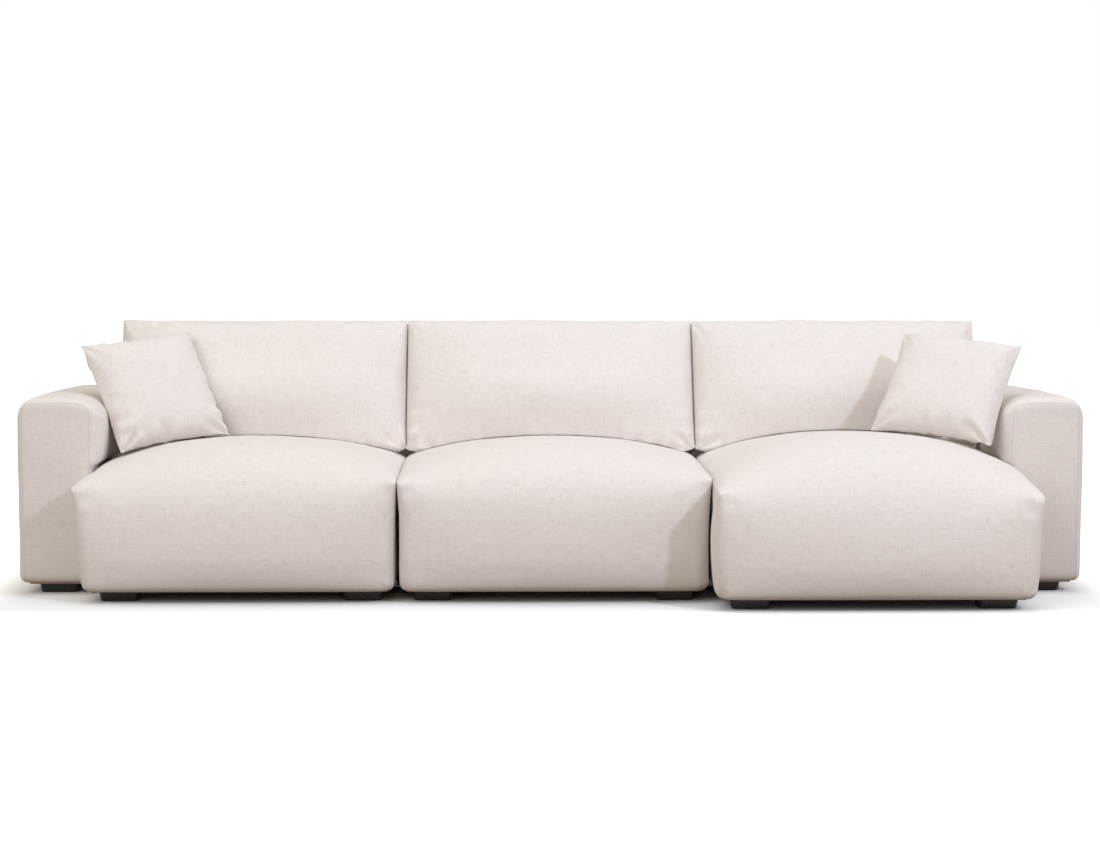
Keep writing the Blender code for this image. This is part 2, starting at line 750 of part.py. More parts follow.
class Pillow:
    """A knife-edged cushion: two bulging panels on one seam, with drawn-in sides."""

    def __init__(self, half_width, half_height, front, rear, pinches, columns, rows, place):
        self.half = Vector((half_width, 0, half_height))
        self.bulges = (front, rear)
        self.pinch, self.foot_pinch = pinches
        self.columns = columns
        self.rows = rows
        self.place = place

    def point(self, panel, i, j, offset, draw=0.0):
        """A point of one panel, on a skin inside the seam by an offset, its corners drawn in."""
        s = math.sin(math.pi / 2 * (2 * i / self.columns - 1))
        t = math.sin(math.pi / 2 * (2 * j / self.rows - 1))
        x = s * (self.half.x - self.pinch * (1 - t * t))
        z = t * (self.half.z - (self.pinch if t > 0 else self.foot_pinch) * (1 - s * s))
        bulge = self.bulges[panel]
        depth = bulge * ((1 - s**4) * (1 - t**4)) ** PILLOW_POWER
        drawn = 1 - draw * (s * t) ** 4
        x *= drawn - offset / self.half.x
        z *= drawn - offset / self.half.z
        depth *= 1 - offset / bulge
        return self.place(Vector((x, -depth if panel == 0 else depth, z)), offset)

    def grid(self, surface, offset, draw=0.0):
        """Adds one skin's points and returns their indices by panel, column and row."""
        index = {}
        for panel in (0, 1):
            for i in range(self.columns + 1):
                for j in range(self.rows + 1):
                    on_seam = i in (0, self.columns) or j in (0, self.rows)
                    if panel == 1 and on_seam:
                        index[1, i, j] = index[0, i, j]
                    else:
                        point = self.point(panel, i, j, offset, draw)
                        index[panel, i, j] = surface.ring([point])[0]
        return index

    def zip_columns(self):
        return range(ZIP_MARGIN_CELLS, self.columns - ZIP_MARGIN_CELLS)

    def skin(self, surface, index, open_zip, inward=False):
        for panel in (0, 1):
            for i in range(self.columns):
                for j in range(self.rows):
                    if open_zip and panel == 1 and j == 0 and i in self.zip_columns():
                        continue
                    cell = [(i, j), (i + 1, j), (i + 1, j + 1), (i, j + 1)]
                    if (2 * i < self.columns) != (2 * j < self.rows):
                        cell = cell[1:] + cell[:1]
                    corners = [index[panel, a, b] for a, b in cell]
                    surface.quad(*corners, inward=inward == (panel == 0))

    def case(self, name):
        """The sewn cover, open along its zip at the foot of the rear panel."""
        surface = Surface()
        outer = self.grid(surface, 0)
        inner = self.grid(surface, CASE_WALL)
        self.skin(surface, outer, True)
        self.skin(surface, inner, True, inward=True)
        first, last = self.zip_columns()[0], self.zip_columns()[-1] + 1
        loop = [(i, 0) for i in range(first, last + 1)] + [(i, 1) for i in range(last, first - 1, -1)]
        surface.band([inner[1, i, j] for i, j in loop], [outer[1, i, j] for i, j in loop])
        return surface.mesh(name)

    def pad(self, name):
        """The filled inner cushion."""
        surface = Surface()
        index = self.grid(surface, CASE_WALL + CASE_GAP, PAD_CORNER_DRAW)
        self.skin(surface, index, False)
        return surface.mesh(name)

    def closure(self, name):
        """The zip and its tape, as wide as the opening that it closes."""
        surface = Surface()
        first, last = self.zip_columns()[0], self.zip_columns()[-1] + 1
        rings = []
        for i in range(first, last + 1):
            ends = [[self.point(1, i, j, o) for j in (0, 1)] for o in (0, ZIP_THICKNESS)]
            if i in (first, last):
                inner_i = i + 1 if i == first else i - 1
                for depth, o in enumerate((0, ZIP_THICKNESS)):
                    for j in (0, 1):
                        towards = self.point(1, inner_i, j, o) - ends[depth][j]
                        ends[depth][j] += towards.normalized() * CASE_GAP
            ring = []
            for low, high in ends:
                step = (high - low).normalized() * CASE_GAP
                ring += [low + step, high - step]
            ring[2], ring[3] = ring[3], ring[2]
            rings.append(surface.ring(ring))
        for lower, upper in zip(rings, rings[1:]):
            surface.band(lower, upper)
        surface.quad(*rings[-1])
        surface.quad(*rings[0], inward=True)
        return surface.mesh(name)


def back_cushion_place(seat, arm_side):
    """Leans a back cushion on its back and beds it on its seat's crown, clear of an arm."""
    lean = Matrix.Rotation(-math.radians(BACK_CUSHION_LEAN), 3, "X")
    seam = Vector((0, PANEL_Y - BACK_CUSHION_SET, BACK_CUSHION_SEAM_HEIGHT))
    half_height = Vector((0, 0, BACK_CUSHION_HEIGHT / 2))

    def place(point, offset):
        p = lean @ (point + half_height) + seam
        if arm_side * p.x > 0:
            beside = (ARM_HEIGHT + BACK_CUSHION_FLARE - p.z) / BACK_CUSHION_FLARE
            p.x *= 1 - min(max(beside, 0.0), 1.0) * ARM_BULGE / HALF_SEAT
        reach = PANEL_Y + BACK_CUSHION_OVERHANG * max(p.z - BACK_HEIGHT, 0.0)
        p.y = min(p.y, reach - offset)
        p.z = max(p.z, seat.top(p.x, p.y) + REST_MARGIN + BED_WALL_SHARE * offset)
        return p

    return place


def tree(item, extra=Matrix()):
    """A search tree over an object's triangles, in world space."""
    world = extra @ item.matrix_world
    points = [world @ v.co for v in item.data.vertices]
    return BVHTree.FromPolygons(points, [tuple(p.vertices) for p in item.data.polygons])


def settle(carrier, moving, supports, direction, gap):
    """Moves an empty along a direction until its case just misses what it rests on."""
    bpy.context.view_layer.update()
    still = [tree(s) for s in supports]
    step = direction.normalized()

    def touches(distance):
        shape = tree(moving, Matrix.Translation(step * distance))
        return any(shape.overlap(other) for other in still)

    clear, blocked = -SETTLE_REACH, SETTLE_REACH
    for _ in range(SETTLE_STEPS):
        middle = (clear + blocked) / 2
        if touches(middle):
            blocked = middle
        else:
            clear = middle
    turn = carrier.parent.matrix_world.to_3x3().inverted()
    carrier.location += turn @ (step * (clear - gap))
    bpy.context.view_layer.update()


def cushion(prefix, pillow, carrier):
    """A case, its filled pad and its zip on one carrier."""
    case = piece(prefix + "_case", pillow.case(prefix), "fabric", carrier, smooth=True)
    piece(prefix + "_pad", pillow.pad(prefix), "filling", carrier, smooth=True)
    piece(prefix + "_zip", pillow.closure(prefix), "zip", carrier)
    return case


def back_cushion(prefix, seat, module, supports, arm_side):
    carrier = anchor(prefix, (0, 0, 0), module)
    pillow = Pillow(
        HALF_SEAT - BACK_CUSHION_SIDE_GAP,
        BACK_CUSHION_HEIGHT / 2,
        BACK_CUSHION_FRONT,
        BACK_CUSHION_REAR,
        (BACK_CUSHION_PINCH, BACK_CUSHION_PINCH),
        BACK_CUSHION_COLUMNS,
        BACK_CUSHION_ROWS,
        back_cushion_place(seat, arm_side),
    )
    case = cushion(prefix, pillow, carrier)
    settle(carrier, case, supports, Vector((0, 0, -1)), TOUCH_GAP)
    return carrier, case


def scatter_cushion(prefix, carrier_parent, centre, angles, inward, supports):
    """A small square cushion propped in the corner of an arm and a back cushion."""
    yaw, lean, roll = angles
    turn = (
        Matrix.Rotation(math.radians(yaw), 3, "Z")
        @ Matrix.Rotation(math.radians(lean), 3, "X")
        @ Matrix.Rotation(math.radians(roll), 3, "Y")
    )
    bpy.context.view_layer.update()
    x, before_panel, z = centre
    home = carrier_parent.matrix_world.inverted() @ Vector((x, PANEL_Y + before_panel, z))
    carrier = anchor(prefix, home, carrier_parent)
    pillow = Pillow(
        SCATTER_SIDE / 2,
        SCATTER_SIDE / 2,
        SCATTER_THICKNESS / 2,
        SCATTER_THICKNESS / 2,
        (SCATTER_PINCH, 0),
        SCATTER_CELLS,
        SCATTER_CELLS,
        lambda point, offset: turn @ point,
    )
    case = cushion(prefix, pillow, carrier)
    pull = Vector((inward * SCATTER_PULL.x, SCATTER_PULL.y, SCATTER_PULL.z))
    settle(carrier, case, supports, -pull, SCATTER_GAP)
    return carrier


def module_feet(prefix, seat, parent):
    x = HALF_SEAT - FOOT_SIDE_INSET - FOOT_WIDTH / 2
    front = seat.front + FOOT_END_INSET + FOOT_LENGTH / 2
    rear = REAR_Y - FOOT_END_INSET - FOOT_LENGTH / 2
    for end, y in (("front", front), ("rear", rear)):
        for side, sign in (("left", -1), ("right", 1)):
            foot(f"{prefix}_foot_{end}_{side}", sign * x, y, parent)


def seat_module(prefix, x, seat):
    """Everything of one seat module but its arm, rails and loose cushions."""
    parent = anchor(prefix + "_module", (x, 0, 0))
    base_frame(prefix + "_base_frame", seat, parent)
    webbing(prefix + "_webbing", seat, parent)
    lining(prefix + "_lining", seat, parent)
    foam_core(prefix + "_foam_core", seat, parent)
    cover = seat_cover(prefix + "_seat_cover", seat, parent)
    back_frame(prefix + "_back_frame", parent)
    back = back_cover(prefix + "_back_cover", parent)
    module_feet(prefix, seat, parent)
    return parent, cover, back


def arm(prefix, side, parent):
    """An arm on one end module, side -1 for the left and 1 for the right."""
    x = side * ARM_X
    cover = arm_cover(prefix + "_arm_cover", -side, parent, x)
    arm_frame(prefix + "_arm_frame", parent, x)
    front = REAR_Y - ARM_DEPTH + ARM_FOOT_INSET + FOOT_LENGTH / 2
    rear = REAR_Y - FOOT_END_INSET - FOOT_LENGTH / 2
    for end, y in (("front", front), ("rear", rear)):
        foot(f"{prefix}_arm_foot_{end}", x, y, parent)
    return cover


def main():
    clear_scene()
    centre_seat = Seat(SEAT_DEPTH, CENTRE_EDGE_HEIGHTS, SEAT_CROWN_HEIGHT)
    left_seat = Seat(SEAT_DEPTH, LEFT_EDGE_HEIGHTS, SEAT_CROWN_HEIGHT)
    chaise_seat = Seat(CHAISE_DEPTH, CHAISE_EDGE_HEIGHTS, CHAISE_CROWN_HEIGHT)
    centre, centre_cover, centre_back = seat_module("centre", 0, centre_seat)
    left, left_cover, left_back = seat_module("left", -SEAT_WIDTH, left_seat)
    chaise, chaise_cover, chaise_back = seat_module("chaise", SEAT_WIDTH, chaise_seat)
    left_arm = arm("left", -1, left)
    right_arm = arm("right", 1, chaise)
    for name, parent, side in (("left", left, -1), ("chaise", chaise, 1)):
        pin_rail(name + "_pin_rail", centre, side)
        socket_rail(name + "_socket_rail", parent, side)
    back_cushion("centre_back_cushion", centre_seat, centre, [centre_cover, centre_back], 0)
    left_carrier, left_case = back_cushion(
        "left_back_cushion", left_seat, left, [left_cover, left_back, left_arm], -1
    )
    chaise_carrier, chaise_case = back_cushion(
        "chaise_back_cushion", chaise_seat, chaise, [chaise_cover, chaise_back, right_arm], 1
    )
    scatter_cushion(
        "left_scatter",
        left_carrier,
        LEFT_SCATTER_CENTRE,
        LEFT_SCATTER_TURN,
        1,
        [left_cover, left_arm, left_case],
    )
    scatter_cushion(
        "right_scatter",
        chaise_carrier,
        RIGHT_SCATTER_CENTRE,
        RIGHT_SCATTER_TURN,
        -1,
        [chaise_cover, right_arm, chaise_case],
    )


if __name__ == "__main__":
    main()
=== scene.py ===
"""A three-seat modular sofa in off-white slubbed linen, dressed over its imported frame.

The right end seat is a short chaise. X runs along the sofa, Y from its front to its rear
and Z up, in metres, with the floor at Z = 0.
"""

import json
import math

import bpy
import numpy as np
from bpy.props import FloatProperty, FloatVectorProperty, IntProperty, PointerProperty
from mathutils import Matrix, Vector, noise
from mathutils.bvhtree import BVHTree

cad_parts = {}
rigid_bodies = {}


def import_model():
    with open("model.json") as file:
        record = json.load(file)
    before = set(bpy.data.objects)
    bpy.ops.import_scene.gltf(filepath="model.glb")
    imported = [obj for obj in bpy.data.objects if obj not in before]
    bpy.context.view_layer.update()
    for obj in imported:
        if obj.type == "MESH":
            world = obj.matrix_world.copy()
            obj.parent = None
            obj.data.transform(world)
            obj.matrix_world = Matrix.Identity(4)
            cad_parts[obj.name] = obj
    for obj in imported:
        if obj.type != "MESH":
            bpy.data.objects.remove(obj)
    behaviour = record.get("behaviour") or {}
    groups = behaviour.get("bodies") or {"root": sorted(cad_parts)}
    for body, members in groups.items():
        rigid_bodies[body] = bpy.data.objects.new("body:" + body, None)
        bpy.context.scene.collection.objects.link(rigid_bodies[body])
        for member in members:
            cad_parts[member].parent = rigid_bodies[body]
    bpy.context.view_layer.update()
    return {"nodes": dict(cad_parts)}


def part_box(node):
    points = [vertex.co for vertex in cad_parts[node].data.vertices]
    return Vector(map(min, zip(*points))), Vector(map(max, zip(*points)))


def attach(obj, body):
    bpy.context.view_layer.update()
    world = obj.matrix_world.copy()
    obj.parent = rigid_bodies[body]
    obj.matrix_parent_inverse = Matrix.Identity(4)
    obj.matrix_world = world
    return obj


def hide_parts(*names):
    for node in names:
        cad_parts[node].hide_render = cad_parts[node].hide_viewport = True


bl_info = {
    "name": "Modular sofa",
    "version": (1, 0, 0),
    "blender": (4, 5, 0),
    "location": "3D View > Sidebar > Sofa",
    "description": "Upholstery, cushions, seams, fittings and stage of a modular sofa",
    "category": "Add Mesh",
}

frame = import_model()

# The walls of a padded block, and how many of their lowest rows hold fast
WALLS = ("front", "right", "rear", "left")
HEM_ROWS = 3

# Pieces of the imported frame, by module
MODULES = ("left", "centre", "chaise")
MODULE_BODIES = {name: name + "_module" for name in MODULES}
ARM_BODIES = {"left": "left_module", "right": "chaise_module"}
MODULE_X = {
    name: (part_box(name + "_seat_cover")[0].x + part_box(name + "_seat_cover")[1].x) / 2
    for name in MODULES
}
HALF_SEAT = (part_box("centre_seat_cover")[1].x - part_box("centre_seat_cover")[0].x) / 2
PANEL_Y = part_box("centre_back_cover")[0].y
HEM_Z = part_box("centre_seat_cover")[0].z
BACK_TOP_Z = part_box("centre_back_cover")[1].z
ARM_TOP_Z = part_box("left_arm_cover")[1].z
ARM_FRONT_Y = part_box("left_arm_cover")[0].y

# Seat shape
EDGE_HEIGHTS = {
    "left": (0.342, 0.400, 0.365, 0.390),
    "centre": (0.364, 0.390, 0.375, 0.390),
    "chaise": (0.351, 0.380, 0.328, 0.415),
}
CROWN_HEIGHTS = {"left": 0.478, "centre": 0.478, "chaise": 0.505}
FRONT_ROLL = 0.340
FRONT_SWELL = 0.038
FRONT_ROUNDS = 70
FRONT_EDGE_LIFT = 0.018
EDGE_POWER = 0.50
CROWN_SLOPE = 0.065
CROWN_POWER = 0.70
ROLL_POWER = 0.70
HEM_TUCK = 0.016
HEM_ROUND = 0.035
HEM_TURN_IN = 0.060
HEM_TURN_UP = 0.010
EAR_RADIUS = 0.006
FRONT_CORNER_RADIUS = 0.046
SIDE_RELIEF = 0.0070
SIDE_BLEND = 0.20
RELIEF_SHARES = (0.45, 0.55)
RELIEF_REACH = 0.06
FREE_GAP = 0.004
FREE_BLEND = 0.10
SWELL_REACH = 0.16
SWELL_BLEND = 0.14
SWELL_SKEW = 0.75
SWELL_POWERS = (0.9, 0.5)
RELIEF_POWER = 6
CORNER_POWER = 5

# Where a seat's side stands clear of its neighbour: the depth it is free to, and how far it
# swells there at its top edge and half way down
FREE_SIDES = {
    "left": {-1: (ARM_FRONT_Y, 0.021, 0.002)},
    "centre": {},
    "chaise": {
        -1: (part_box("centre_seat_cover")[0].y, 0.0, 0.015),
        1: (ARM_FRONT_Y, 0.0135, 0.004),
    },
}

# Where a seat's front may round off, back from it, up from the hem and in from the sides:
# where that ends or starts, and the length over which it fades
ROUNDING_DEPTH = (0.22, 0.16)
ROUNDING_HEIGHT = (0.09, 0.12)
ROUNDING_SIDE = (0.004, 0.13)

# Under a seat's pointed corner: the middle and width of a hollow, inward and downward, and of
# the soft ridge beside it
EAR_HOLLOW = ((0.030, 0.020), (0.022, 0.024))
EAR_HOLLOW_DEPTH = 0.0075
EAR_RIDGE = ((0.055, 0.018), (0.06, 0.05))
EAR_RIDGE_DEPTH = 0.0020
EAR_REACH = 0.05

# The gathers round a seat's foot, and how many waves of what share they have round a corner
GATHER_INSET = 0.02
GATHER_SPREAD = 0.06
GATHER_HEIGHT = 0.022
GATHER_DEPTH = 0.0075
COARSE_WAVES, COARSE_SHARE = 9, 0.6
FINE_WAVES, FINE_SHARE = 15, 0.4

# Arm shape
ARM_OUTER_SHOULDER = 0.050
ARM_INNER_SHOULDER = 0.080
ARM_FRONT_SHOULDER = 0.022
ARM_REAR_SHOULDER = 0.034
ARM_SIDE_DROP = 0.058
ARM_CORNER_RADIUS = 0.024
ARM_BULGE = 0.040
ARM_BULGE_FOOT = 0.396
ARM_CROWN = 0.010
ARM_BULGE_END = 0.150
ARM_BULGE_BLEND = 0.10
ARM_BULGE_POWER = 0.35
ARM_CROWN_SKEW = 0.7
ARM_FRONT_SWELL = 0.003
ARM_FRONT_REACH = 0.1
ARM_FRONT_POWER = 0.5
ARM_SEEDS = {"left": 11, "right": 33}

# The seam of an arm's front panel: its distance from the arm's outer side, inner side and top,
# and from the hem, its turns and its steps
ARM_SEAM_OUTER = 0.019
ARM_SEAM_INNER = 0.002
ARM_SEAM_TOP = 0.012
ARM_SEAM_HEM = 0.004
ARM_SEAM_TURN = 0.030
ARM_SEAM_TURN_STEPS = 8
ARM_SEAM_STEP = 0.006
SEAM_LIFT = 0.0002

# Shape of the padded backs
BACK_SHOULDERS = (0.006, 0.006, 0.034, 0.036)
BACK_DROP = 0.032
BACK_CORNER_RADIUS = 0.024
BACK_CELLS = 1.5
BACK_SEED = 31

# Back cushion shape and place
CUSHION_HEIGHT = 0.470
CUSHION_SEAM_Z = 0.400
CUSHION_LEAN = math.radians(24.0)
CUSHION_SET = 0.235
CUSHION_OVERHANG = 0.30
CUSHION_FLARE = 0.080
CUSHION_INSET = 0.020
REST_MARGIN = 0.0015
SIDE_GAP = 0.0024
SIDE_CONTACT = (MODULE_X["chaise"] - MODULE_X["centre"]) / 2 - 0.0002
REAR_MARGIN = 0.001
REAR_SETTLING = 0.010
BACK_CUSHION = {
    "bulges": (0.095, 0.150), "pinch": (0.0, 0.0005), "belly": 1.9, "fullness": 0.55,
    "droop": -0.011, "corner": 0.040, "boxed": 1.0, "gathers": 0.0075,
}

# Scatter cushion shape and place: yaw, lean and roll in degrees
SCATTER_SIDE = 0.383
SCATTER_CELLS = 0.85
SCATTER_TURNS = {"left": (33.5, -32.4, -6.4), "right": (-25.2, -39.6, 6.6)}
SCATTER_SEEDS = {"left": 23, "right": 29}
SCATTER_CUSHION = {
    "bulges": (0.065, 0.065), "pinch": (0.008, 0.008), "belly": 4.0, "fullness": 0.10,
    "droop": 0.009, "corner": 0.006, "boxed": 0.0, "gathers": 0.0085,
}

# Every loose cushion: how much closer its lines stand near the seam, the roundness of its
# panels, where the front one starts to be fuller and how softly, the fullness of the rear one,
# the straight walls of a boxed rear, and the rear panel's place in the cloth's map
SEAM_CROWDING = 0.4
PILLOW_POWER = 0.58
PANEL_POWER = 4
FULLNESS_TOP = 0.70
FULLNESS_FADE = 1.25
REAR_FULLNESS = 0.4
SIDE_WALL = 0.09
SIDE_WALL_POWER = 30
SIDE_SWELL = 0.015
SIDE_TURN = 0.008
REAR_PANEL_MAP = 3.0

# The folds at a loose cushion's corners, the ripples along its seam, and the droop of its feet
LOWER_FOLDS = 2.1
UPPER_FOLDS = 0.8
MANY_FOLDS, MANY_SHARE = 11, 0.6
FEW_FOLDS, FEW_SHARE = 6, 0.5
FOLD_PHASE = 2.1
FOLD_REACH = 0.075
FOLD_START = 0.02
RIPPLE_LENGTH = 0.062
RIPPLE_REACH = 0.045
RIPPLE_START = 0.012
RIPPLE_SPOTS = 14
RIPPLE_DEPTH = 1.1
LOW_RIPPLES = 0.35
DROOP_POWERS = (3, 5)

# How firmly the cloth of each cover is held between its seams, from 0 to 1, how much less it is
# held beside a seat's edges and over what width, and the same beside a loose cushion's seam
HOLD = {"seat": 0.30, "arm": 0.45, "back": 0.6, "cushion": 0.24}
EDGE_EASE = 0.16
EDGE_EASE_WIDTH = 0.08
SEAM_HOLD_SHARES = (0.35, 0.65)
SEAM_HOLD_WIDTH = 0.10
EAR_HOLD = 0.9
EDGE_CREASE = 0.7
SEAM_CREASE = 0.85

# How full each cover is padded, from 0 to 1
FILL = {"seat": 0.85, "arm": 0.9, "back": 0.9, "back cushion": 0.75, "scatter cushion": 0.8}

# How a cover settles: its share of the cloth's excess, the push of its filling, the furthest
# that it moves, and the depth and size of its rumples, which fade out where it is held
RUMPLE_EASE = 2.2
SETTLING = {
    "seat": (0.1, 1.2, 0.008, 0.0020, 0.16),
    "arm": (0.05, 0.8, 0.005, 0.0016, 0.14),
    "back": (0.1, 0.8, 0.005, 0.0016, 0.14),
    "back cushion": (0.2, 1.5, 0.010, 0.0035, 0.13),
    "scatter cushion": (0.25, 1.8, 0.008, 0.0030, 0.09),
}

# The photograph's camera
CAMERA_PLACE = (-0.141, -6.430, 1.003)
CAMERA_YAW = math.radians(1.21)
CAMERA_PITCH = math.radians(4.61)
CAMERA_ROLL = math.radians(0.07)
IMAGE_WIDTH = 1100
FOCAL_PIXELS = 2019.9
SENSOR = 36.0

# The linen: its yarns in metres and in noise cells to the metre, and how much streaks, slubs and
# grain darken it
YARN_PITCH = 0.0017
YARN_SWAY = 0.0016
YARN_COUNT = 500.0
SLUB_COUNT = 380.0
YARN_DRAWN = 30.0
STREAK_SHARE = 0.40
SLUB_SHARE = 0.30
GRAIN_SHARE = 0.20
ROSY_LINEN = (0.80, 0.725, 0.71)
SALLOW_LINEN = (0.76, 0.725, 0.655)

# Scuffs on the feet
SCUFF_COLOUR = (0.045, 0.043, 0.040)

# How the covers' cloth settles
CLOTH_SETTINGS = {
    "quality": 4, "mass": 0.25, "air_damping": 2.0, "tension_stiffness": 22.0,
    "compression_stiffness": 22.0, "shear_stiffness": 8.0, "bending_stiffness": 1.2,
    "tension_damping": 12.0, "compression_damping": 12.0, "shear_damping": 8.0,
    "bending_damping": 1.5, "vertex_group_mass": "held", "pin_stiffness": 1.0,
}
CLOTH_STEPS = 20

# Seams, zips and linings. A fold is given as its share of the full width of a seam, a wobble is
# how far a repeat stands askew, and a zip runs along one row of a cushion's rear panel and leaves
# one part of so many free at either end
ZIP_ROW = 2
ZIP_MARGIN = 6
ZIP_TAPE = 0.022
TAPE_THICKNESS = 0.0008
TOOTH = (0.0052, 0.0026, 0.0020)
STAPLE = (0.0010, 0.0010, 0.0110)
STAPLE_INSET = 0.008
STAPLE_DEPTH = 0.0004
STITCH_WOBBLE = 0.12
TOOTH_WOBBLE = 0.02
STAPLE_WOBBLE = 0.25
LOOSE_FOLD = 0.85
FAST_FOLD = 0.4
LINING_CELLS = 40

# The stage: lamps by place, size, power and colour, the world, and the floor, which glows
# white from the edge of a box round the sofa outwards
LAMP_TARGET = (0.0, 0.0, 0.3)
LAMPS = {
    "key": ((4.3, -4.6, 4.4), 0.55, 166.0, (0.70, 0.80, 1.0)),
    "overhead": ((0.0, -0.3, 3.6), 4.0, 36.0, (0.76, 0.88, 1.0)),
    "left fill": ((-3.9, -5.4, 3.8), 5.0, 174.0, (0.90, 0.95, 1.0)),
    "right fill": ((5.5, -2.0, 3.0), 3.0, 46.0, (0.91, 0.92, 1.0)),
}
WORLD_STRENGTH = 0.58
WORLD_COLOUR = (1.0, 0.880, 0.752)
FLOOR_REACH = 30.0
FLOOR_COLOURS = ((0.965, 0.985, 1.0), (0.975, 0.995, 1.0))
FLOOR_BOUNCE = (0.30, 0.24, 0.19)
GLOW_BOX = (1.62, 0.50)
GLOW_WIDTH = 0.34

# What one operator leaves for the next
seam_lines = {}
zip_lines = {}
finishes = {}


class SofaSizes(bpy.types.PropertyGroup):
    """Sizes of the cloth, the seams, the zips and the staples"""

    cloth_cell: FloatProperty(
        name="Cloth cell", description="Size of a mesh cell of the upholstery",
        default=0.0125, min=0.006, max=0.05, subtype="DISTANCE",
    )
    cushion_cell: FloatProperty(
        name="Cushion cell", description="Size of a mesh cell of a loose cushion",
        default=0.0110, min=0.006, max=0.05, subtype="DISTANCE",
    )
    cloth_excess: FloatProperty(
        name="Cloth excess", description="Share by which a cover is cut larger than its filling",
        default=0.020, min=0.0, max=0.08, subtype="FACTOR",
    )
    seam_cord: FloatProperty(
        name="Seam", description="Width of the fold of cloth at a seam",
        default=0.0032, min=0.001, max=0.01, subtype="DISTANCE",
    )
    stitch_pitch: FloatProperty(
        name="Stitch pitch", description="Distance from one stitch to the next",
        default=0.0065, min=0.003, max=0.02, subtype="DISTANCE",
    )
    stitch_length: FloatProperty(
        name="Stitch length", description="Length of one stitch",
        default=0.0042, min=0.001, max=0.01, subtype="DISTANCE",
    )
    thread: FloatProperty(
        name="Thread", description="Width of the sewing thread",
        default=0.0009, min=0.0003, max=0.003, subtype="DISTANCE",
    )
    tooth_pitch: FloatProperty(
        name="Zip tooth pitch", description="Distance from one zip tooth to the next",
        default=0.0036, min=0.001, max=0.01, subtype="DISTANCE",
    )
    staple_pitch: FloatProperty(
        name="Staple pitch", description="Distance between the staples that hold a lining",
        default=0.045, min=0.01, max=0.2, subtype="DISTANCE",
    )
    seed: IntProperty(name="Seed", description="Seed of everything irregular", default=7)


class SofaColours(bpy.types.PropertyGroup):
    """Colours of the sofa's finishes"""

    linen: FloatVectorProperty(
        name="Linen", description="Main colour of the upholstery cloth",
        default=(0.835, 0.800, 0.770), size=3, min=0, max=1, subtype="COLOR",
    )
    linen_slub: FloatVectorProperty(
        name="Slub", description="Colour of the darker yarns in the cloth",
        default=(0.640, 0.575, 0.520), size=3, min=0, max=1, subtype="COLOR",
    )
    thread: FloatVectorProperty(
        name="Thread", description="Colour of the sewing thread",
        default=(0.62, 0.56, 0.51), size=3, min=0, max=1, subtype="COLOR",
    )
    foot: FloatVectorProperty(
        name="Feet", description="Colour of the block feet",
        default=(0.012, 0.011, 0.010), size=3, min=0, max=1, subtype="COLOR",
    )
    timber: FloatVectorProperty(
        name="Timber", description="Colour of the frames",
        default=(0.62, 0.45, 0.27), size=3, min=0, max=1, subtype="COLOR",
    )
    lining: FloatVectorProperty(
        name="Lining", description="Colour of the dust cloth underneath",
        default=(0.018, 0.018, 0.019), size=3, min=0, max=1, subtype="COLOR",
    )
    steel: FloatVectorProperty(
        name="Steel", description="Colour of the pins, rails and staples",
        default=(0.42, 0.42, 0.43), size=3, min=0, max=1, subtype="COLOR",
    )


# Materials


def painted(value):
    """A colour with its alpha, or a socket as it is."""
    return value if isinstance(value, bpy.types.NodeSocket) else (*value, 1.0)


def shaded(colour, factor):
    """A colour made darker or lighter."""
    return tuple(c * factor for c in colour)


class Nodes:
    """Adds nodes to one tree and links them."""

    def __init__(self, tree):
        self.tree = tree

    def join(self, value, socket):
        """Links a socket to an input, or gives the input a value."""
        if isinstance(value, bpy.types.NodeSocket):
            self.tree.links.new(value, socket)
        else:
            socket.default_value = value

    def node(self, kind, settings=None, **inputs):
        """Adds a node. Its inputs go by name, or by place as i0, i1 and so on."""
        made = self.tree.nodes.new(kind)
        for key, value in (settings or {}).items():
            setattr(made, key, value)
        for key, value in inputs.items():
            if key[0] == "i" and key[1:].isdigit():
                socket = made.inputs[int(key[1:])]
            else:
                name = key.replace("_", " ")
                socket = next(s for s in made.inputs if s.name == name and s.enabled)
            self.join(value, socket)
        return made

    def math(self, operation, a, b=0.0):
        return self.node("ShaderNodeMath", {"operation": operation}, i0=a, i1=b).outputs[0]


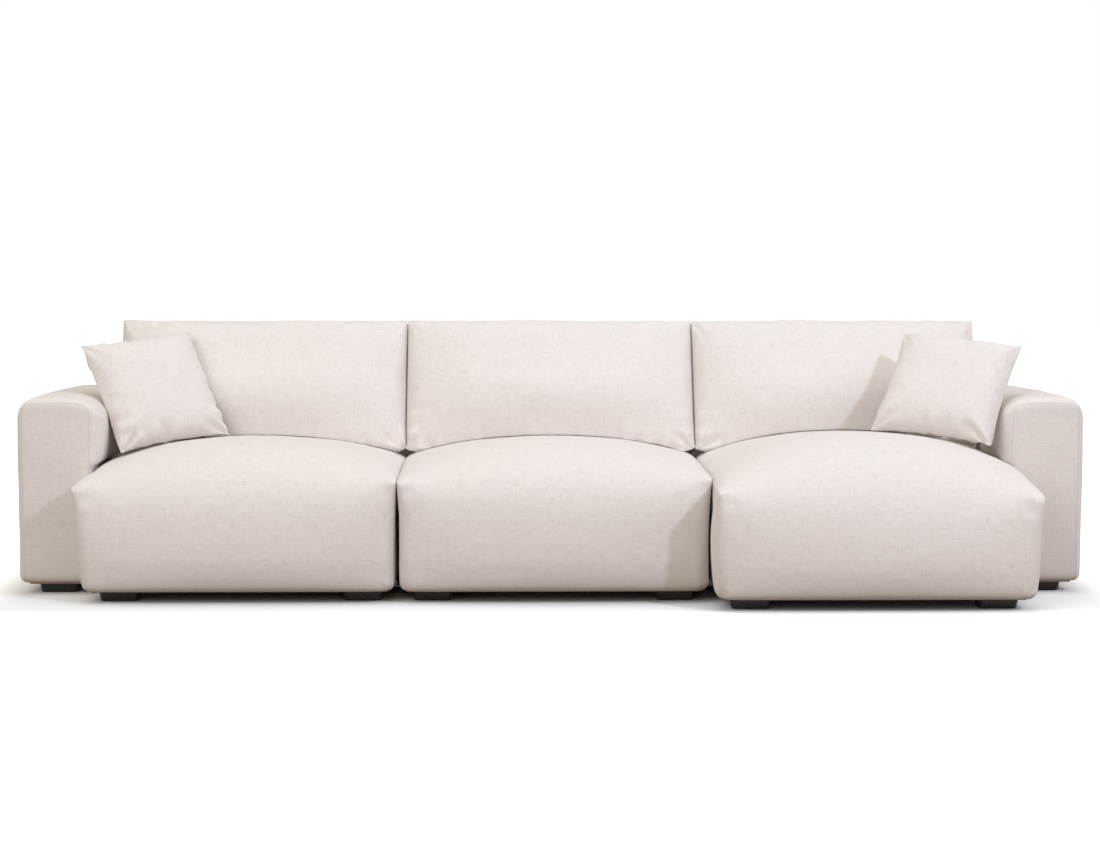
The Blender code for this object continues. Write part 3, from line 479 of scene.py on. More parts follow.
class Shader(Nodes):
    """The nodes of one material."""

    def __init__(self, name):
        self.material = bpy.data.materials.new(name)
        self.material.use_nodes = True
        super().__init__(self.material.node_tree)
        self.surface = self.tree.nodes["Principled BSDF"]

    def place(self):
        """Where a point is on its piece, in metres."""
        return self.node("ShaderNodeTexCoord").outputs["Object"]

    def scaled(self, vector, scale):
        made = self.node("ShaderNodeVectorMath", {"operation": "MULTIPLY"}, i0=vector, i1=scale)
        return made.outputs[0]

    def noise(self, vector, scale, detail=2.0, roughness=0.5):
        made = self.node(
            "ShaderNodeTexNoise", None, Vector=vector, Scale=scale, Detail=detail,
            Roughness=roughness,
        )
        return made.outputs[0]

    def ramp(self, value, low, high, out_low=0.0, out_high=1.0):
        made = self.node(
            "ShaderNodeMapRange", {"interpolation_type": "SMOOTHSTEP"}, i0=value, i1=low, i2=high,
            i3=out_low, i4=out_high,
        )
        return made.outputs[0]

    def mix(self, factor, a, b):
        made = self.node(
            "ShaderNodeMix", {"data_type": "RGBA"}, i0=factor, i6=painted(a), i7=painted(b)
        )
        return made.outputs[2]

    def finish(self, colour, bump, strength, depth, **inputs):
        """Paints and embosses the surface and returns the material."""
        relief = self.node("ShaderNodeBump", None, Strength=strength, Distance=depth, Height=bump)
        inputs.update(Base_Color=painted(colour), Normal=relief.outputs[0])
        for key, value in inputs.items():
            self.join(value, self.surface.inputs[key.replace("_", " ")])
        return self.material


def linen(colours):
    """Plain-woven linen with uneven yarns, thick slubs, soft mottling and a little sheen."""
    s = Shader("linen")
    cloth = s.node("ShaderNodeUVMap", {"uv_map": "cloth"}).outputs[0]
    split = s.node("ShaderNodeSeparateXYZ", None, i0=cloth)
    sway = s.math("MULTIPLY", s.math("SUBTRACT", s.noise(cloth, 60.0), 0.5), YARN_SWAY)
    wave, shade, slub = [], [], []
    for axis in (0, 1):
        along = s.math("ADD", split.outputs[axis], sway)
        wave.append(s.math("SINE", s.math("MULTIPLY", along, 2 * math.pi / YARN_PITCH)))
        fine, thick = [
            s.scaled(cloth, (count, YARN_DRAWN, 1.0) if axis == 0 else (YARN_DRAWN, count, 1.0))
            for count in (YARN_COUNT, SLUB_COUNT)
        ]
        shade.append(s.math("MULTIPLY", s.noise(fine, 1.0, 2.0, 0.6), 0.5))
        slub.append(s.ramp(s.noise(thick, 1.0, 1.0), 0.61, 0.69))
    weave = s.math("ADD", s.math("MULTIPLY", s.math("MULTIPLY", *wave), 0.5), 0.5)
    streaks = s.math("ADD", *shade)
    slubs = s.math("MAXIMUM", *slub)
    mottle = s.noise(s.place(), 9.0, 3.0, 0.6)
    grain = s.noise(cloth, 420.0, 2.0, 0.7)
    dark = s.math(
        "ADD",
        s.ramp(streaks, 0.36, 0.64, 0.0, STREAK_SHARE),
        s.math(
            "ADD",
            s.math("MULTIPLY", slubs, SLUB_SHARE),
            s.ramp(grain, 0.3, 0.7, 0.0, GRAIN_SHARE),
        ),
    )
    base = s.mix(dark, colours.linen, colours.linen_slub)
    rosy = s.mix(s.ramp(mottle, 0.56, 0.72, 0.0, 0.3), base, ROSY_LINEN)
    tint = s.mix(s.ramp(mottle, 0.44, 0.28, 0.0, 0.3), rosy, SALLOW_LINEN)
    woven = s.mix(s.math("MULTIPLY", weave, 0.10), tint, colours.linen_slub)
    height = s.math(
        "ADD",
        s.math("MULTIPLY", weave, 0.45),
        s.math("ADD", s.math("MULTIPLY", slubs, 0.6), s.math("MULTIPLY", grain, 0.5)),
    )
    return s.finish(
        woven, height, 0.35, 0.0007, Roughness=0.92, Sheen_Weight=0.12,
        Sheen_Roughness=0.5, Specular_IOR_Level=0.25,
    )


def seam_cloth(colours):
    """The folded edge of the linen at a seam, its colour a little darker as painted shade of the
    seam's crease.
    """
    s = Shader("seam_cloth")
    fine = s.noise(s.place(), 700.0)
    # Linen and slub colours scaled to 0.94 and 0.96 are painted shade along the seam's crease; the
    # fine noise between them is the yarns' own mottle
    colour = s.mix(fine, shaded(colours.linen, 0.94), shaded(colours.linen_slub, 0.96))
    return s.finish(colour, fine, 0.4, 0.0005, Roughness=0.94, Sheen_Weight=0.1)


def sewing_thread(colours):
    """Twisted thread."""
    s = Shader("sewing_thread")
    twist = s.noise(s.place(), 2500.0, 1.0)
    colour = s.mix(twist, colours.thread, shaded(colours.thread, 0.8))
    return s.finish(colour, twist, 0.3, 0.0002, Roughness=0.7, Sheen_Weight=0.2)


def block_foot(colours):
    """Black moulded feet with a fine pebbled skin and paler scuffs."""
    s = Shader("block_foot")
    place = s.place()
    pebble = s.noise(place, 420.0)
    scuff = s.ramp(s.noise(place, 38.0, 4.0, 0.7), 0.58, 0.75, 0.0, 0.5)
    colour = s.mix(scuff, colours.foot, SCUFF_COLOUR)
    rough = s.ramp(pebble, 0.2, 0.8, 0.42, 0.62)
    return s.finish(colour, pebble, 0.35, 0.0004, Roughness=rough)


def frame_timber(colours):
    """Sawn softwood with long grain, rays and a few darker bands."""
    s = Shader("frame_timber")
    place = s.place()
    grain = s.noise(s.scaled(place, (6.0, 6.0, 90.0)), 1.0, 5.0, 0.65)
    band = s.noise(s.scaled(place, (3.0, 3.0, 22.0)), 1.0)
    light = colours.timber
    colour = s.mix(s.ramp(grain, 0.35, 0.7), light, shaded(light, 0.66))
    colour = s.mix(s.ramp(band, 0.5, 0.7, 0.0, 0.4), colour, shaded(light, 0.5))
    return s.finish(colour, grain, 0.3, 0.0006, Roughness=0.72)


def plain_steel(colours):
    """Zinc-plated steel, faintly brushed."""
    s = Shader("plain_steel")
    place = s.place()
    brush = s.noise(s.scaled(place, (900.0, 40.0, 900.0)), 1.0)
    colour = s.mix(s.noise(place, 60.0), colours.steel, shaded(colours.steel, 0.7))
    rough = s.ramp(brush, 0.2, 0.8, 0.28, 0.5)
    return s.finish(colour, brush, 0.15, 0.0002, Roughness=rough, Metallic=1.0)


def dust_cloth(colours):
    """Thin bonded dust cloth with pressed dimples."""
    s = Shader("dust_cloth")
    place = s.place()
    dimple = s.node("ShaderNodeTexVoronoi", None, Vector=place, Scale=420.0).outputs[0]
    fibre = s.noise(place, 160.0, 4.0, 0.7)
    colour = s.mix(fibre, colours.lining, shaded(colours.lining, 2.2))
    return s.finish(colour, dimple, 0.5, 0.0004, Roughness=0.9, Sheen_Weight=0.05)


def zip_tape(colours):
    """Ribbed zip tape in the cloth's colour."""
    s = Shader("zip_tape")
    rib = s.noise(s.scaled(s.place(), (1200.0, 200.0, 200.0)), 1.0, 1.0)
    colour = s.mix(rib, colours.thread, colours.linen_slub)
    return s.finish(colour, rib, 0.4, 0.0003, Roughness=0.8)


FINISH_MAKERS = (
    linen, seam_cloth, sewing_thread, block_foot, frame_timber, plain_steel, dust_cloth, zip_tape,
)


def finish(name):
    """A finish by its name, made once."""
    if name not in finishes:
        maker = next(m for m in FINISH_MAKERS if m.__name__ == name)
        finishes[name] = maker(bpy.context.scene.sofa_colours)
    return finishes[name]


# Cloth meshes


class Cloth:
    """Grid patches of one cover, welded where their points meet."""

    def __init__(self):
        self.points, self.faces, self.map, self.found = [], [], [], {}

    def patch(self, points, cloth, flip=False):
        """Adds a grid of points with its cloth coordinates and returns their indices."""
        keys = np.round(points, 5)
        rows, columns = points.shape[:2]
        index = np.empty((rows, columns), int)
        for r in range(rows):
            for c in range(columns):
                key = tuple(keys[r, c])
                if key not in self.found:
                    self.found[key] = len(self.points)
                    self.points.append(points[r, c])
                index[r, c] = self.found[key]
        for r in range(rows - 1):
            for c in range(columns - 1):
                cell = [(r, c), (r, c + 1), (r + 1, c + 1), (r + 1, c)]
                if flip:
                    cell.reverse()
                kept = [p for n, p in enumerate(cell) if index[p] != index[cell[n - 1]]]
                if len(kept) > 2:
                    self.faces.append([int(index[p]) for p in kept])
                    self.map.append([cloth[p] for p in kept])
        return index

    def mesh(self, name):
        made = bpy.data.meshes.new(name)
        made.from_pydata([tuple(map(float, p)) for p in self.points], [], self.faces)
        layer = made.uv_layers.new(name="cloth")
        flat = np.array([uv for face in self.map for uv in face], np.float32)
        layer.data.foreach_set("uv", flat.ravel())
        made.update()
        return made


def coordinates(mesh):
    flat = np.empty(len(mesh.vertices) * 3, np.float64)
    mesh.vertices.foreach_get("co", flat)
    return flat.reshape(-1, 3)


def move_vertices(mesh, points):
    mesh.vertices.foreach_set("co", np.asarray(points, np.float64).ravel())
    mesh.update()


def normals(mesh):
    flat = np.empty(len(mesh.vertices) * 3, np.float64)
    mesh.vertices.foreach_get("normal", flat)
    return flat.reshape(-1, 3)


def linked(name, data):
    """An object in the scene, with its data."""
    made = bpy.data.objects.new(name, data)
    bpy.context.scene.collection.objects.link(made)
    return made


def evaluated(item):
    """A plain mesh of an object with its modifiers."""
    graph = bpy.context.evaluated_depsgraph_get()
    return bpy.data.meshes.new_from_object(item.evaluated_get(graph), depsgraph=graph)


def subdivide(item):
    """Bakes a smooth subdivision, after which the first vertices are the coarse ones."""
    modifier = item.modifiers.new("smooth", "SUBSURF")
    modifier.levels = modifier.render_levels = 1
    modifier.boundary_smooth = "PRESERVE_CORNERS"
    bpy.context.view_layer.update()
    mesh = evaluated(item)
    item.modifiers.clear()
    old = item.data
    item.data = mesh
    bpy.data.meshes.remove(old)
    mesh.name = item.name
    mesh.polygons.foreach_set("use_smooth", [True] * len(mesh.polygons))


def crease_between(mesh, indices, amount):
    """Keeps the edges between listed vertices crisp under subdivision."""
    marked = np.zeros(len(mesh.vertices), bool)
    marked[list(indices)] = True
    crease = mesh.attributes.new("crease_edge", "FLOAT", "EDGE")
    ends = np.empty(len(mesh.edges) * 2, int)
    mesh.edges.foreach_get("vertices", ends)
    both = marked[ends.reshape(-1, 2)].all(1)
    crease.data.foreach_set("value", (both * amount).astype(np.float32))


def rumpled(points, directions, seed, depth, size):
    """Moves points along their directions by smooth noise."""
    shift = Vector((seed * 3.1, seed * 1.7, seed * 5.3))
    waves = np.array([noise.noise(Vector(p) / size + shift) for p in points])
    return points + directions * (waves * depth)[:, None]


def drape(item, held, kind, excess, seed):
    """Lets a cover that is cut a little too large wrinkle over its filling, up to a cap."""
    share, pressure, cap, depth, size = SETTLING[kind]
    mesh = item.data
    flat = coordinates(mesh)
    start = rumpled(flat, normals(mesh), seed, depth, size)
    start = flat + (start - flat) * np.clip(RUMPLE_EASE * (1 - held), 0, 1)[:, None]
    move_vertices(mesh, start)
    group = item.vertex_groups.new(name="held")
    for weight in np.unique(np.round(held, 2)):
        members = np.nonzero(np.round(held, 2) == weight)[0]
        group.add([int(i) for i in members], float(weight), "REPLACE")
    cloth = item.modifiers.new("drape", "CLOTH")
    settings = cloth.settings
    for key, value in CLOTH_SETTINGS.items():
        setattr(settings, key, value)
    settings.shrink_min = -excess * share
    settings.use_pressure = pressure > 0
    settings.uniform_pressure_force = pressure
    settings.effector_weights.gravity = 0.0
    cloth.collision_settings.use_collision = False
    cloth.collision_settings.use_self_collision = False
    cloth.point_cache.frame_start = 1
    cloth.point_cache.frame_end = CLOTH_STEPS + 4
    scene = bpy.context.scene
    for step in range(1, CLOTH_STEPS + 1):
        scene.frame_set(step)
    hung = evaluated(item)
    moved = coordinates(hung) - start
    bpy.data.meshes.remove(hung)
    item.modifiers.clear()
    item.vertex_groups.clear()
    scene.frame_set(1)
    length = np.linalg.norm(moved, axis=1)
    soft = cap * np.tanh(length / cap) / np.maximum(length, 1e-9)
    move_vertices(mesh, start + moved * soft[:, None])


def hold_hems(held, grids):
    """Holds the lowest rows of every wall fast."""
    for side in WALLS:
        held[grids[side][:HEM_ROWS].ravel()] = 1.0


def smooth_step(value):
    """A soft rise from 0 to 1."""
    value = np.clip(value, 0.0, 1.0)
    return value * value * (3 - 2 * value)


def hump(value, middle, width):
    """A smooth bell that is 1 at its middle."""
    return np.exp(-(((value - middle) / width) ** 2))


def shouldered(x, y, plan, shoulders, height, side_drop, end_drop):
    """Height of a flat top that falls away over round shoulders."""
    x0, x1, y0, y1 = plan
    left, right, front, rear = shoulders

    def fall(distance, reach):
        return 1 - np.sqrt(1 - (1 - np.clip(distance / reach, 0, 1)) ** 2)

    side = np.maximum(fall(x - x0, left), fall(x1 - x, right))
    end = np.maximum(fall(y - y0, front), fall(y1 - y, rear))
    return height - side_drop * side - end_drop * end * (1 - side)


def soften(x, y, plan, radius):
    """Moves plan points so that the corners of their rectangle are round."""
    x0, x1, y0, y1 = plan
    radius = np.maximum(radius, 1e-5)
    cx, cy = np.clip(x, x0 + radius, x1 - radius), np.clip(y, y0 + radius, y1 - radius)
    p, q = (x - cx) / radius, (y - cy) / radius
    return cx + radius * p * np.sqrt(1 - q * q / 2), cy + radius * q * np.sqrt(1 - p * p / 2)


class Upholstery:
    """A padded block: walls from a tucked hem to an edge, and a crown between the edges."""

    def __init__(self, plan, hem, cell, top, radius, shoulders=(0, 0, 0, 0)):
        self.plan, self.hem, self.cell = plan, hem, cell
        self.top, self.radius = top, radius
        self.shoulders = shoulders
        x0, x1, y0, y1 = plan
        self.across = max(4, round((x1 - x0) / cell))
        self.along = max(4, round((y1 - y0) / cell))
        middle = float(top(np.array((x0 + x1) / 2), np.array(y0)))
        self.rows = max(4, round((middle - hem) / cell))

    def wall(self, side):
        """Points of one wall, with rows from the turned-in hem up to the edge."""
        x0, x1, y0, y1 = self.plan
        steps = self.across if side in ("front", "rear") else self.along
        ends = {
            "front": ((x0, y0), (x1, y0)), "right": ((x1, y0), (x1, y1)),
            "rear": ((x1, y1), (x0, y1)), "left": ((x0, y1), (x0, y0)),
        }[side]
        left, right, front, rear = self.shoulders
        if side in ("front", "rear"):
            u = self.profile(steps, x1 - x0, left, right) / (x1 - x0)
        else:
            u = self.profile(steps, y1 - y0, front, rear) / (y1 - y0)
        u[-1] = 1.0
        u = (u if side in ("front", "right") else 1 - u[::-1])[None, :]
        t = np.concatenate([[-1.0], np.linspace(0, 1, self.rows + 1)])[:, None]
        low = np.clip(t, 0, 1)
        bx = ends[0][0] + (ends[1][0] - ends[0][0]) * u + 0 * t
        by = ends[0][1] + (ends[1][1] - ends[0][1]) * u + 0 * t
        top = self.top(bx, by)
        z = self.hem + low * (top - self.hem) + np.where(t < 0, HEM_TURN_UP, 0)
        rise = np.where(t < 0, 1, np.clip(1 - (z - self.hem) / HEM_ROUND, 0, 1))
        inset = HEM_TUCK * (1 - np.sqrt(1 - rise * rise)) + np.where(t < 0, HEM_TURN_IN, 0)
        cx, cy = (x0 + x1) / 2, (y0 + y1) / 2
        px = cx + (bx - cx) * (1 - inset / ((x1 - x0) / 2))
        py = cy + (by - cy) * (1 - inset / ((y1 - y0) / 2))
        radius = self.radius(low)
        px, py = soften(px, py, (x0 + inset, x1 - inset, y0 + inset, y1 - inset), radius)
        points = np.stack([px, py, z], -1)
        if side in ("front", "rear"):
            cloth = np.stack([bx, y0 - (top - z) if side == "front" else y1 + (top - z)], -1)
        else:
            cloth = np.stack([by, z], -1)
        return points, cloth

    @staticmethod
    def profile(steps, length, near, far):
        """Positions along one line of the crown, evenly spaced over its round shoulders."""
        arcs = (near * math.pi / 2, far * math.pi / 2)
        flat = length - near - far
        place = []
        for way in np.linspace(0, sum(arcs) + flat, steps + 1):
            if way < arcs[0]:
                place.append(near * (1 - math.cos(way / near)))
            elif way > arcs[0] + flat and far:
                left = (arcs[0] + flat + arcs[1] - way) / far
                place.append(length - far * (1 - math.cos(left)))
            else:
                place.append(near + way - arcs[0])
        return np.array(place)

    def lid(self):
        """Points of the crown, row by row from the front."""
        x0, x1, y0, y1 = self.plan
        left, right, front, rear = self.shoulders
        xs = self.profile(self.across, x1 - x0, left, right)
        ys = self.profile(self.along, y1 - y0, front, rear)
        bx, by = np.meshgrid(x0 + xs, y0 + ys)
        bx[:, -1], by[-1, :] = x1, y1
        px, py = soften(bx, by, self.plan, self.radius(np.array(1.0)))
        return np.stack([px, py, self.top(bx, by)], -1), np.stack([bx, by], -1)

    @staticmethod
    def sole(front, right, rear, left):
        """A grid that fills the ring of the four turned-in hems."""
        rear, left = rear[::-1], left[::-1]
        u = np.linspace(0, 1, len(front))[None, :, None]
        v = np.linspace(0, 1, len(right))[:, None, None]
        ruled = (1 - v) * front[None] + v * rear[None]
        ruled = ruled + (1 - u) * left[:, None] + u * right[:, None]
        corners = (1 - v) * ((1 - u) * front[0] + u * front[-1])
        filled = ruled - corners - v * ((1 - u) * rear[0] + u * rear[-1])
        filled[0], filled[-1], filled[:, 0], filled[:, -1] = front, rear, left, right
        return filled

    def build(self, name):
        """One closed mesh, and the index grids of its walls and crown."""
        cloth = Cloth()
        grids, hems = {"crown": cloth.patch(*self.lid())}, {}
        for side in WALLS:
            points, flat = self.wall(side)
            grids[side] = cloth.patch(points, flat)
            hems[side] = points[0]
        sole = self.sole(*(hems[side] for side in WALLS))
        cloth.patch(sole, sole[..., :2], flip=True)
        return cloth.mesh(name), grids


def dress(item, body, material, *nodes, slot="upholstery", fill=None):
    """Gives a finished piece its material and body, and hides the solids it stands for; its slot is
    not used.
    """
    item.data.materials.clear()
    item.data.materials.append(finish(material))
    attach(item, body)
    if nodes:
        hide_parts(*nodes)


def keep_seam(body, points):
    """Notes the line of a seam, which is sewn later."""
    seam_lines.setdefault(body, []).append(np.asarray(points))


# Seats


def seat_edges(name, x, y):
    """Height of a seat's side edges, carried across to a point."""
    front, rear = seat_reach(name)
    back = np.clip((y - front) / (rear - front), 0, 1) ** EDGE_POWER
    left_front, left_rear, right_front, right_rear = EDGE_HEIGHTS[name]
    left = left_front + (left_rear - left_front) * back
    right = right_front + (right_rear - right_front) * back
    across = np.clip(0.5 + x / (2 * HALF_SEAT), 0, 1)
    return left + (right - left) * across


def seat_reach(name):
    """The front and rear ends of a seat."""
    low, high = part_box(name + "_seat_cover")
    return low.y, high.y


def seat_top(name, x, y):
    """Height of a seat: pointed front corners, a rolled front and a crowned middle."""
    front, _ = seat_reach(name)
    side = np.clip(1 - np.abs(x) / HALF_SEAT, 0, 1)
    roll = np.clip((y - front) / FRONT_ROLL, 0, 1)
    middle = 1 - (1 - side) ** 2
    edge = seat_edges(name, x, y) + FRONT_EDGE_LIFT * middle * (1 - roll)
    crown = CROWN_HEIGHTS[name] - CROWN_SLOPE * np.maximum(y - front - FRONT_ROLL, 0)
    rise = middle**CROWN_POWER * (1 - (1 - roll) ** 2) ** ROLL_POWER
    return edge + (crown - edge) * rise


def swollen_seat(points, name):
    """A swollen front, sides that settle between modules and sides that swell where free."""
    front, _ = seat_reach(name)
    x, y, z = points.T
    edge = seat_edges(name, np.sign(x) * HALF_SEAT, y)
    rise = np.clip((z - HEM_Z) / (edge - HEM_Z), 0, 1)
    beside = smooth_step((np.abs(x) - HALF_SEAT + SIDE_BLEND) / SIDE_BLEND)
    back = np.clip((y - front) / RELIEF_REACH, 0, 1)
    relief = SIDE_RELIEF * (1 - rise**RELIEF_POWER)
    push = -relief * (RELIEF_SHARES[0] + RELIEF_SHARES[1] * back)
    for sign, (limit, at_edge, at_middle) in FREE_SIDES[name].items():
        free = smooth_step((limit - FREE_GAP - y) / FREE_BLEND) * (sign * x > 0)
        swell = at_edge * rise + at_middle * np.sin(math.pi * rise) + relief
        push = push + free * swell
    shape = points.copy()
    shape[:, 0] += np.sign(x) * push * beside
    top = seat_top(name, x, np.full_like(y, front))
    rise = np.clip((z - HEM_Z) / (top - HEM_Z), 0, 1)
    along = np.clip((x + HALF_SEAT) / (2 * HALF_SEAT), 0, 1)
    ahead = smooth_step((front + SWELL_REACH - y) / SWELL_BLEND)
    swell = np.clip(np.sin(math.pi * rise**SWELL_SKEW), 0, 1) ** SWELL_POWERS[0]
    swell = swell * np.clip(np.sin(math.pi * along), 0, 1) ** SWELL_POWERS[1]
    shape[:, 1] -= FRONT_SWELL * swell * ahead
    return shape


def relaxed(mesh, points, freedom, rounds):
    """Points evened out with their neighbours where they are free, as taut cloth is."""
    ends = np.empty(len(mesh.edges) * 2, int)
    mesh.edges.foreach_get("vertices", ends)
    a, b = ends.reshape(-1, 2).T
    count = np.bincount(a, minlength=len(points)) + np.bincount(b, minlength=len(points))
    shape = points.copy()
    for _ in range(rounds):
        sums = [
            np.bincount(a, shape[b, i], len(points)) + np.bincount(b, shape[a, i], len(points))
            for i in range(3)
        ]
        shape += (np.stack(sums, -1) / count[:, None] - shape) * freedom[:, None]
    return shape


def front_freedom(points, name):
    """How freely a seat's cloth may round off: fully along its front edge, not at its ears."""
    front, _ = seat_reach(name)
    x, y, z = points.T
    ahead = smooth_step((front + ROUNDING_DEPTH[0] - y) / ROUNDING_DEPTH[1])
    high = smooth_step((z - HEM_Z - ROUNDING_HEIGHT[0]) / ROUNDING_HEIGHT[1])
    inside = smooth_step((HALF_SEAT - np.abs(x) - ROUNDING_SIDE[0]) / ROUNDING_SIDE[1])
    return ahead * high * inside


def ear_dimples(points, name):
    """Fabric drawn in under each pointed front corner, with a soft ridge down from it."""
    front, _ = seat_reach(name)
    shape = points.copy()
    for sign, ear in ((-1, EDGE_HEIGHTS[name][0]), (1, EDGE_HEIGHTS[name][2])):
        inward = sign * (sign * HALF_SEAT - points[:, 0])
        below = ear - points[:, 2]
        near_front = np.clip(1 - (points[:, 1] - front) / EAR_REACH, 0, 1)
        hollow = hump(inward, *EAR_HOLLOW[0]) * (hump(below, *EAR_HOLLOW[1]) * near_front)
        ridge = hump(inward, *EAR_RIDGE[0]) * hump(below, *EAR_RIDGE[1])
        shape[:, 1] += EAR_HOLLOW_DEPTH * hollow
        shape[:, 1] += EAR_RIDGE_DEPTH * ridge * near_front
    return shape


def foot_gathers(points, name, seed):
    """Small gathers of cloth round the lower front corners."""
    front, _ = seat_reach(name)
    shape = points.copy()
    for sign in (-1, 1):
        dx = points[:, 0] - sign * (HALF_SEAT - GATHER_INSET)
        dy = points[:, 1] - (front + GATHER_INSET)
        near = hump(np.hypot(dx, dy), 0, GATHER_SPREAD)
        low = hump(points[:, 2] - HEM_Z, GATHER_HEIGHT, GATHER_HEIGHT)
        angle = np.arctan2(dy, dx)
        wave = np.sin(COARSE_WAVES * angle + seed) * COARSE_SHARE
        wave = wave + np.sin(FINE_WAVES * angle + 2 * seed) * FINE_SHARE
        push = GATHER_DEPTH * near * low * wave
        shape[:, 0] += push * np.cos(angle)
        shape[:, 1] += push * np.sin(angle)
    return shape


def make_seat(name, sizes):
    """One seat over its foam, with the seams along the sides of its crown."""
    x = MODULE_X[name]
    front, rear = seat_reach(name)
    body = Upholstery(
        (-HALF_SEAT, HALF_SEAT, front, rear),
        HEM_Z,
        sizes.cloth_cell,
        lambda px, py: seat_top(name, px, py),
        lambda t: EAR_RADIUS + (FRONT_CORNER_RADIUS - EAR_RADIUS) * (1 - t**CORNER_POWER),
    )
    mesh, grids = body.build(name + "_seat")
    item = linked(name + "_seat", mesh)
    seed = sizes.seed + MODULES.index(name)
    points = swollen_seat(coordinates(mesh), name)
    points = relaxed(mesh, points, front_freedom(points, name), FRONT_ROUNDS)
    points = foot_gathers(ear_dimples(points, name), name, seed)
    move_vertices(mesh, points)
    crown, front_wall = grids["crown"], grids["front"]
    edges = list(crown[:, 0]) + list(crown[:, -1]) + list(crown[-1, :])
    held = np.full(len(mesh.vertices), HOLD["seat"])
    near = np.minimum(HALF_SEAT - np.abs(points[:, 0]), EDGE_EASE_WIDTH) / EDGE_EASE_WIDTH
    held -= EDGE_EASE * (1 - near)
    held[edges] = 1.0
    hold_hems(held, grids)
    held[front_wall[:, 0]] = held[front_wall[:, -1]] = EAR_HOLD
    crease_between(mesh, edges, EDGE_CREASE)
    drape(item, held, "seat", sizes.cloth_excess, seed)
    subdivide(item)
    move_vertices(item.data, coordinates(item.data) + (x, 0, 0))
    final = coordinates(item.data)
    for column in (crown[:, 0], crown[:, -1]):
        keep_seam(MODULE_BODIES[name], final[column])
    dress(
        item, MODULE_BODIES[name], "linen", name + "_seat_cover", name + "_foam_core",
        name + "_webbing", fill=FILL["seat"],
    )


# Arms and backs


def swollen_arm(points, plan, inward):
    """A padded inner face above the seat, a crowned top and a front that swells a little."""
    x0, x1, y0, y1 = plan
    x, y, z = points.T
    rise = np.clip((z - ARM_BULGE_FOOT) / (ARM_TOP_Z - ARM_BULGE_FOOT), 0, 1)
    near = np.clip((y - y0) / ARM_BULGE, 0, 1)
    reach = np.sqrt(1 - (1 - near) ** 2) * smooth_step((ARM_BULGE_END - y) / ARM_BULGE_BLEND)
    inner = x1 if inward > 0 else x0
    beside = smooth_step(1 - np.abs(inner - x) / (x1 - x0))
    shape = points.copy()
    bulge = np.clip(np.sin(math.pi * rise), 0, 1) ** ARM_BULGE_POWER * reach * beside
    shape[:, 0] += inward * ARM_BULGE * bulge
    height = np.clip((z - HEM_Z) / (ARM_TOP_Z - ARM_SIDE_DROP - HEM_Z), 0, 1)
    across = np.clip((x - x0) / (x1 - x0), 0, 1)
    swell = np.clip(np.sin(math.pi * height) * np.sin(math.pi * across), 0, 1)
    ahead = smooth_step((y0 + ARM_FRONT_REACH - y) / ARM_FRONT_REACH)
    shape[:, 1] -= ARM_FRONT_SWELL * swell**ARM_FRONT_POWER * ahead
    along = np.clip((y - y0) / (y1 - y0), 0, 1)
    arch = np.clip(np.sin(math.pi * across) * np.sin(math.pi * along**ARM_CROWN_SKEW), 0, 1)
    high = smooth_step((z - ARM_TOP_Z + ARM_SIDE_DROP) / ARM_SIDE_DROP)
    shape[:, 2] += ARM_CROWN * arch * high
    return shape


def make_arm(side, sizes):
    """A wide arm with round shoulders, a flat front and a padded inner face."""
    sign = -1 if side == "left" else 1
    node = side + "_arm_cover"
    low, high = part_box(node)
    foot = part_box(side + "_arm_foot_front")
    centre = (foot[0].x + foot[1].x) / 2
    half = centre - low.x if sign < 0 else high.x - centre
    plan = (centre - half, centre + half, low.y, high.y)
    pair = (ARM_OUTER_SHOULDER, ARM_INNER_SHOULDER)
    shoulders = (pair if sign < 0 else pair[::-1]) + (ARM_FRONT_SHOULDER, ARM_REAR_SHOULDER)
    body = Upholstery(
        plan, HEM_Z, sizes.cloth_cell,
        lambda px, py: shouldered(
            px, py, plan, shoulders, high.z, ARM_SIDE_DROP, ARM_FRONT_SHOULDER
        ),
        lambda t: ARM_CORNER_RADIUS + 0 * t,
        shoulders,
    )
    mesh, grids = body.build(side + "_arm")
    item = linked(side + "_arm", mesh)
    move_vertices(mesh, swollen_arm(coordinates(mesh), plan, -sign))
    held = np.full(len(mesh.vertices), HOLD["arm"])
    hold_hems(held, grids)
    drape(item, held, "arm", sizes.cloth_excess, sizes.seed + ARM_SEEDS[side])
    subdivide(item)
    arm_seams(item, side, sign, plan, high.z)
    dress(item, ARM_BODIES[side], "linen", node, fill=FILL["arm"])


def on_surface(item, points):
    """Points moved on to a piece's surface, and a hair out from it."""
    tree = BVHTree.FromObject(item, bpy.context.evaluated_depsgraph_get())
    found = [tree.find_nearest(Vector(p)) for p in points]
    return np.array([place + normal * SEAM_LIFT for place, normal, _, _ in found])


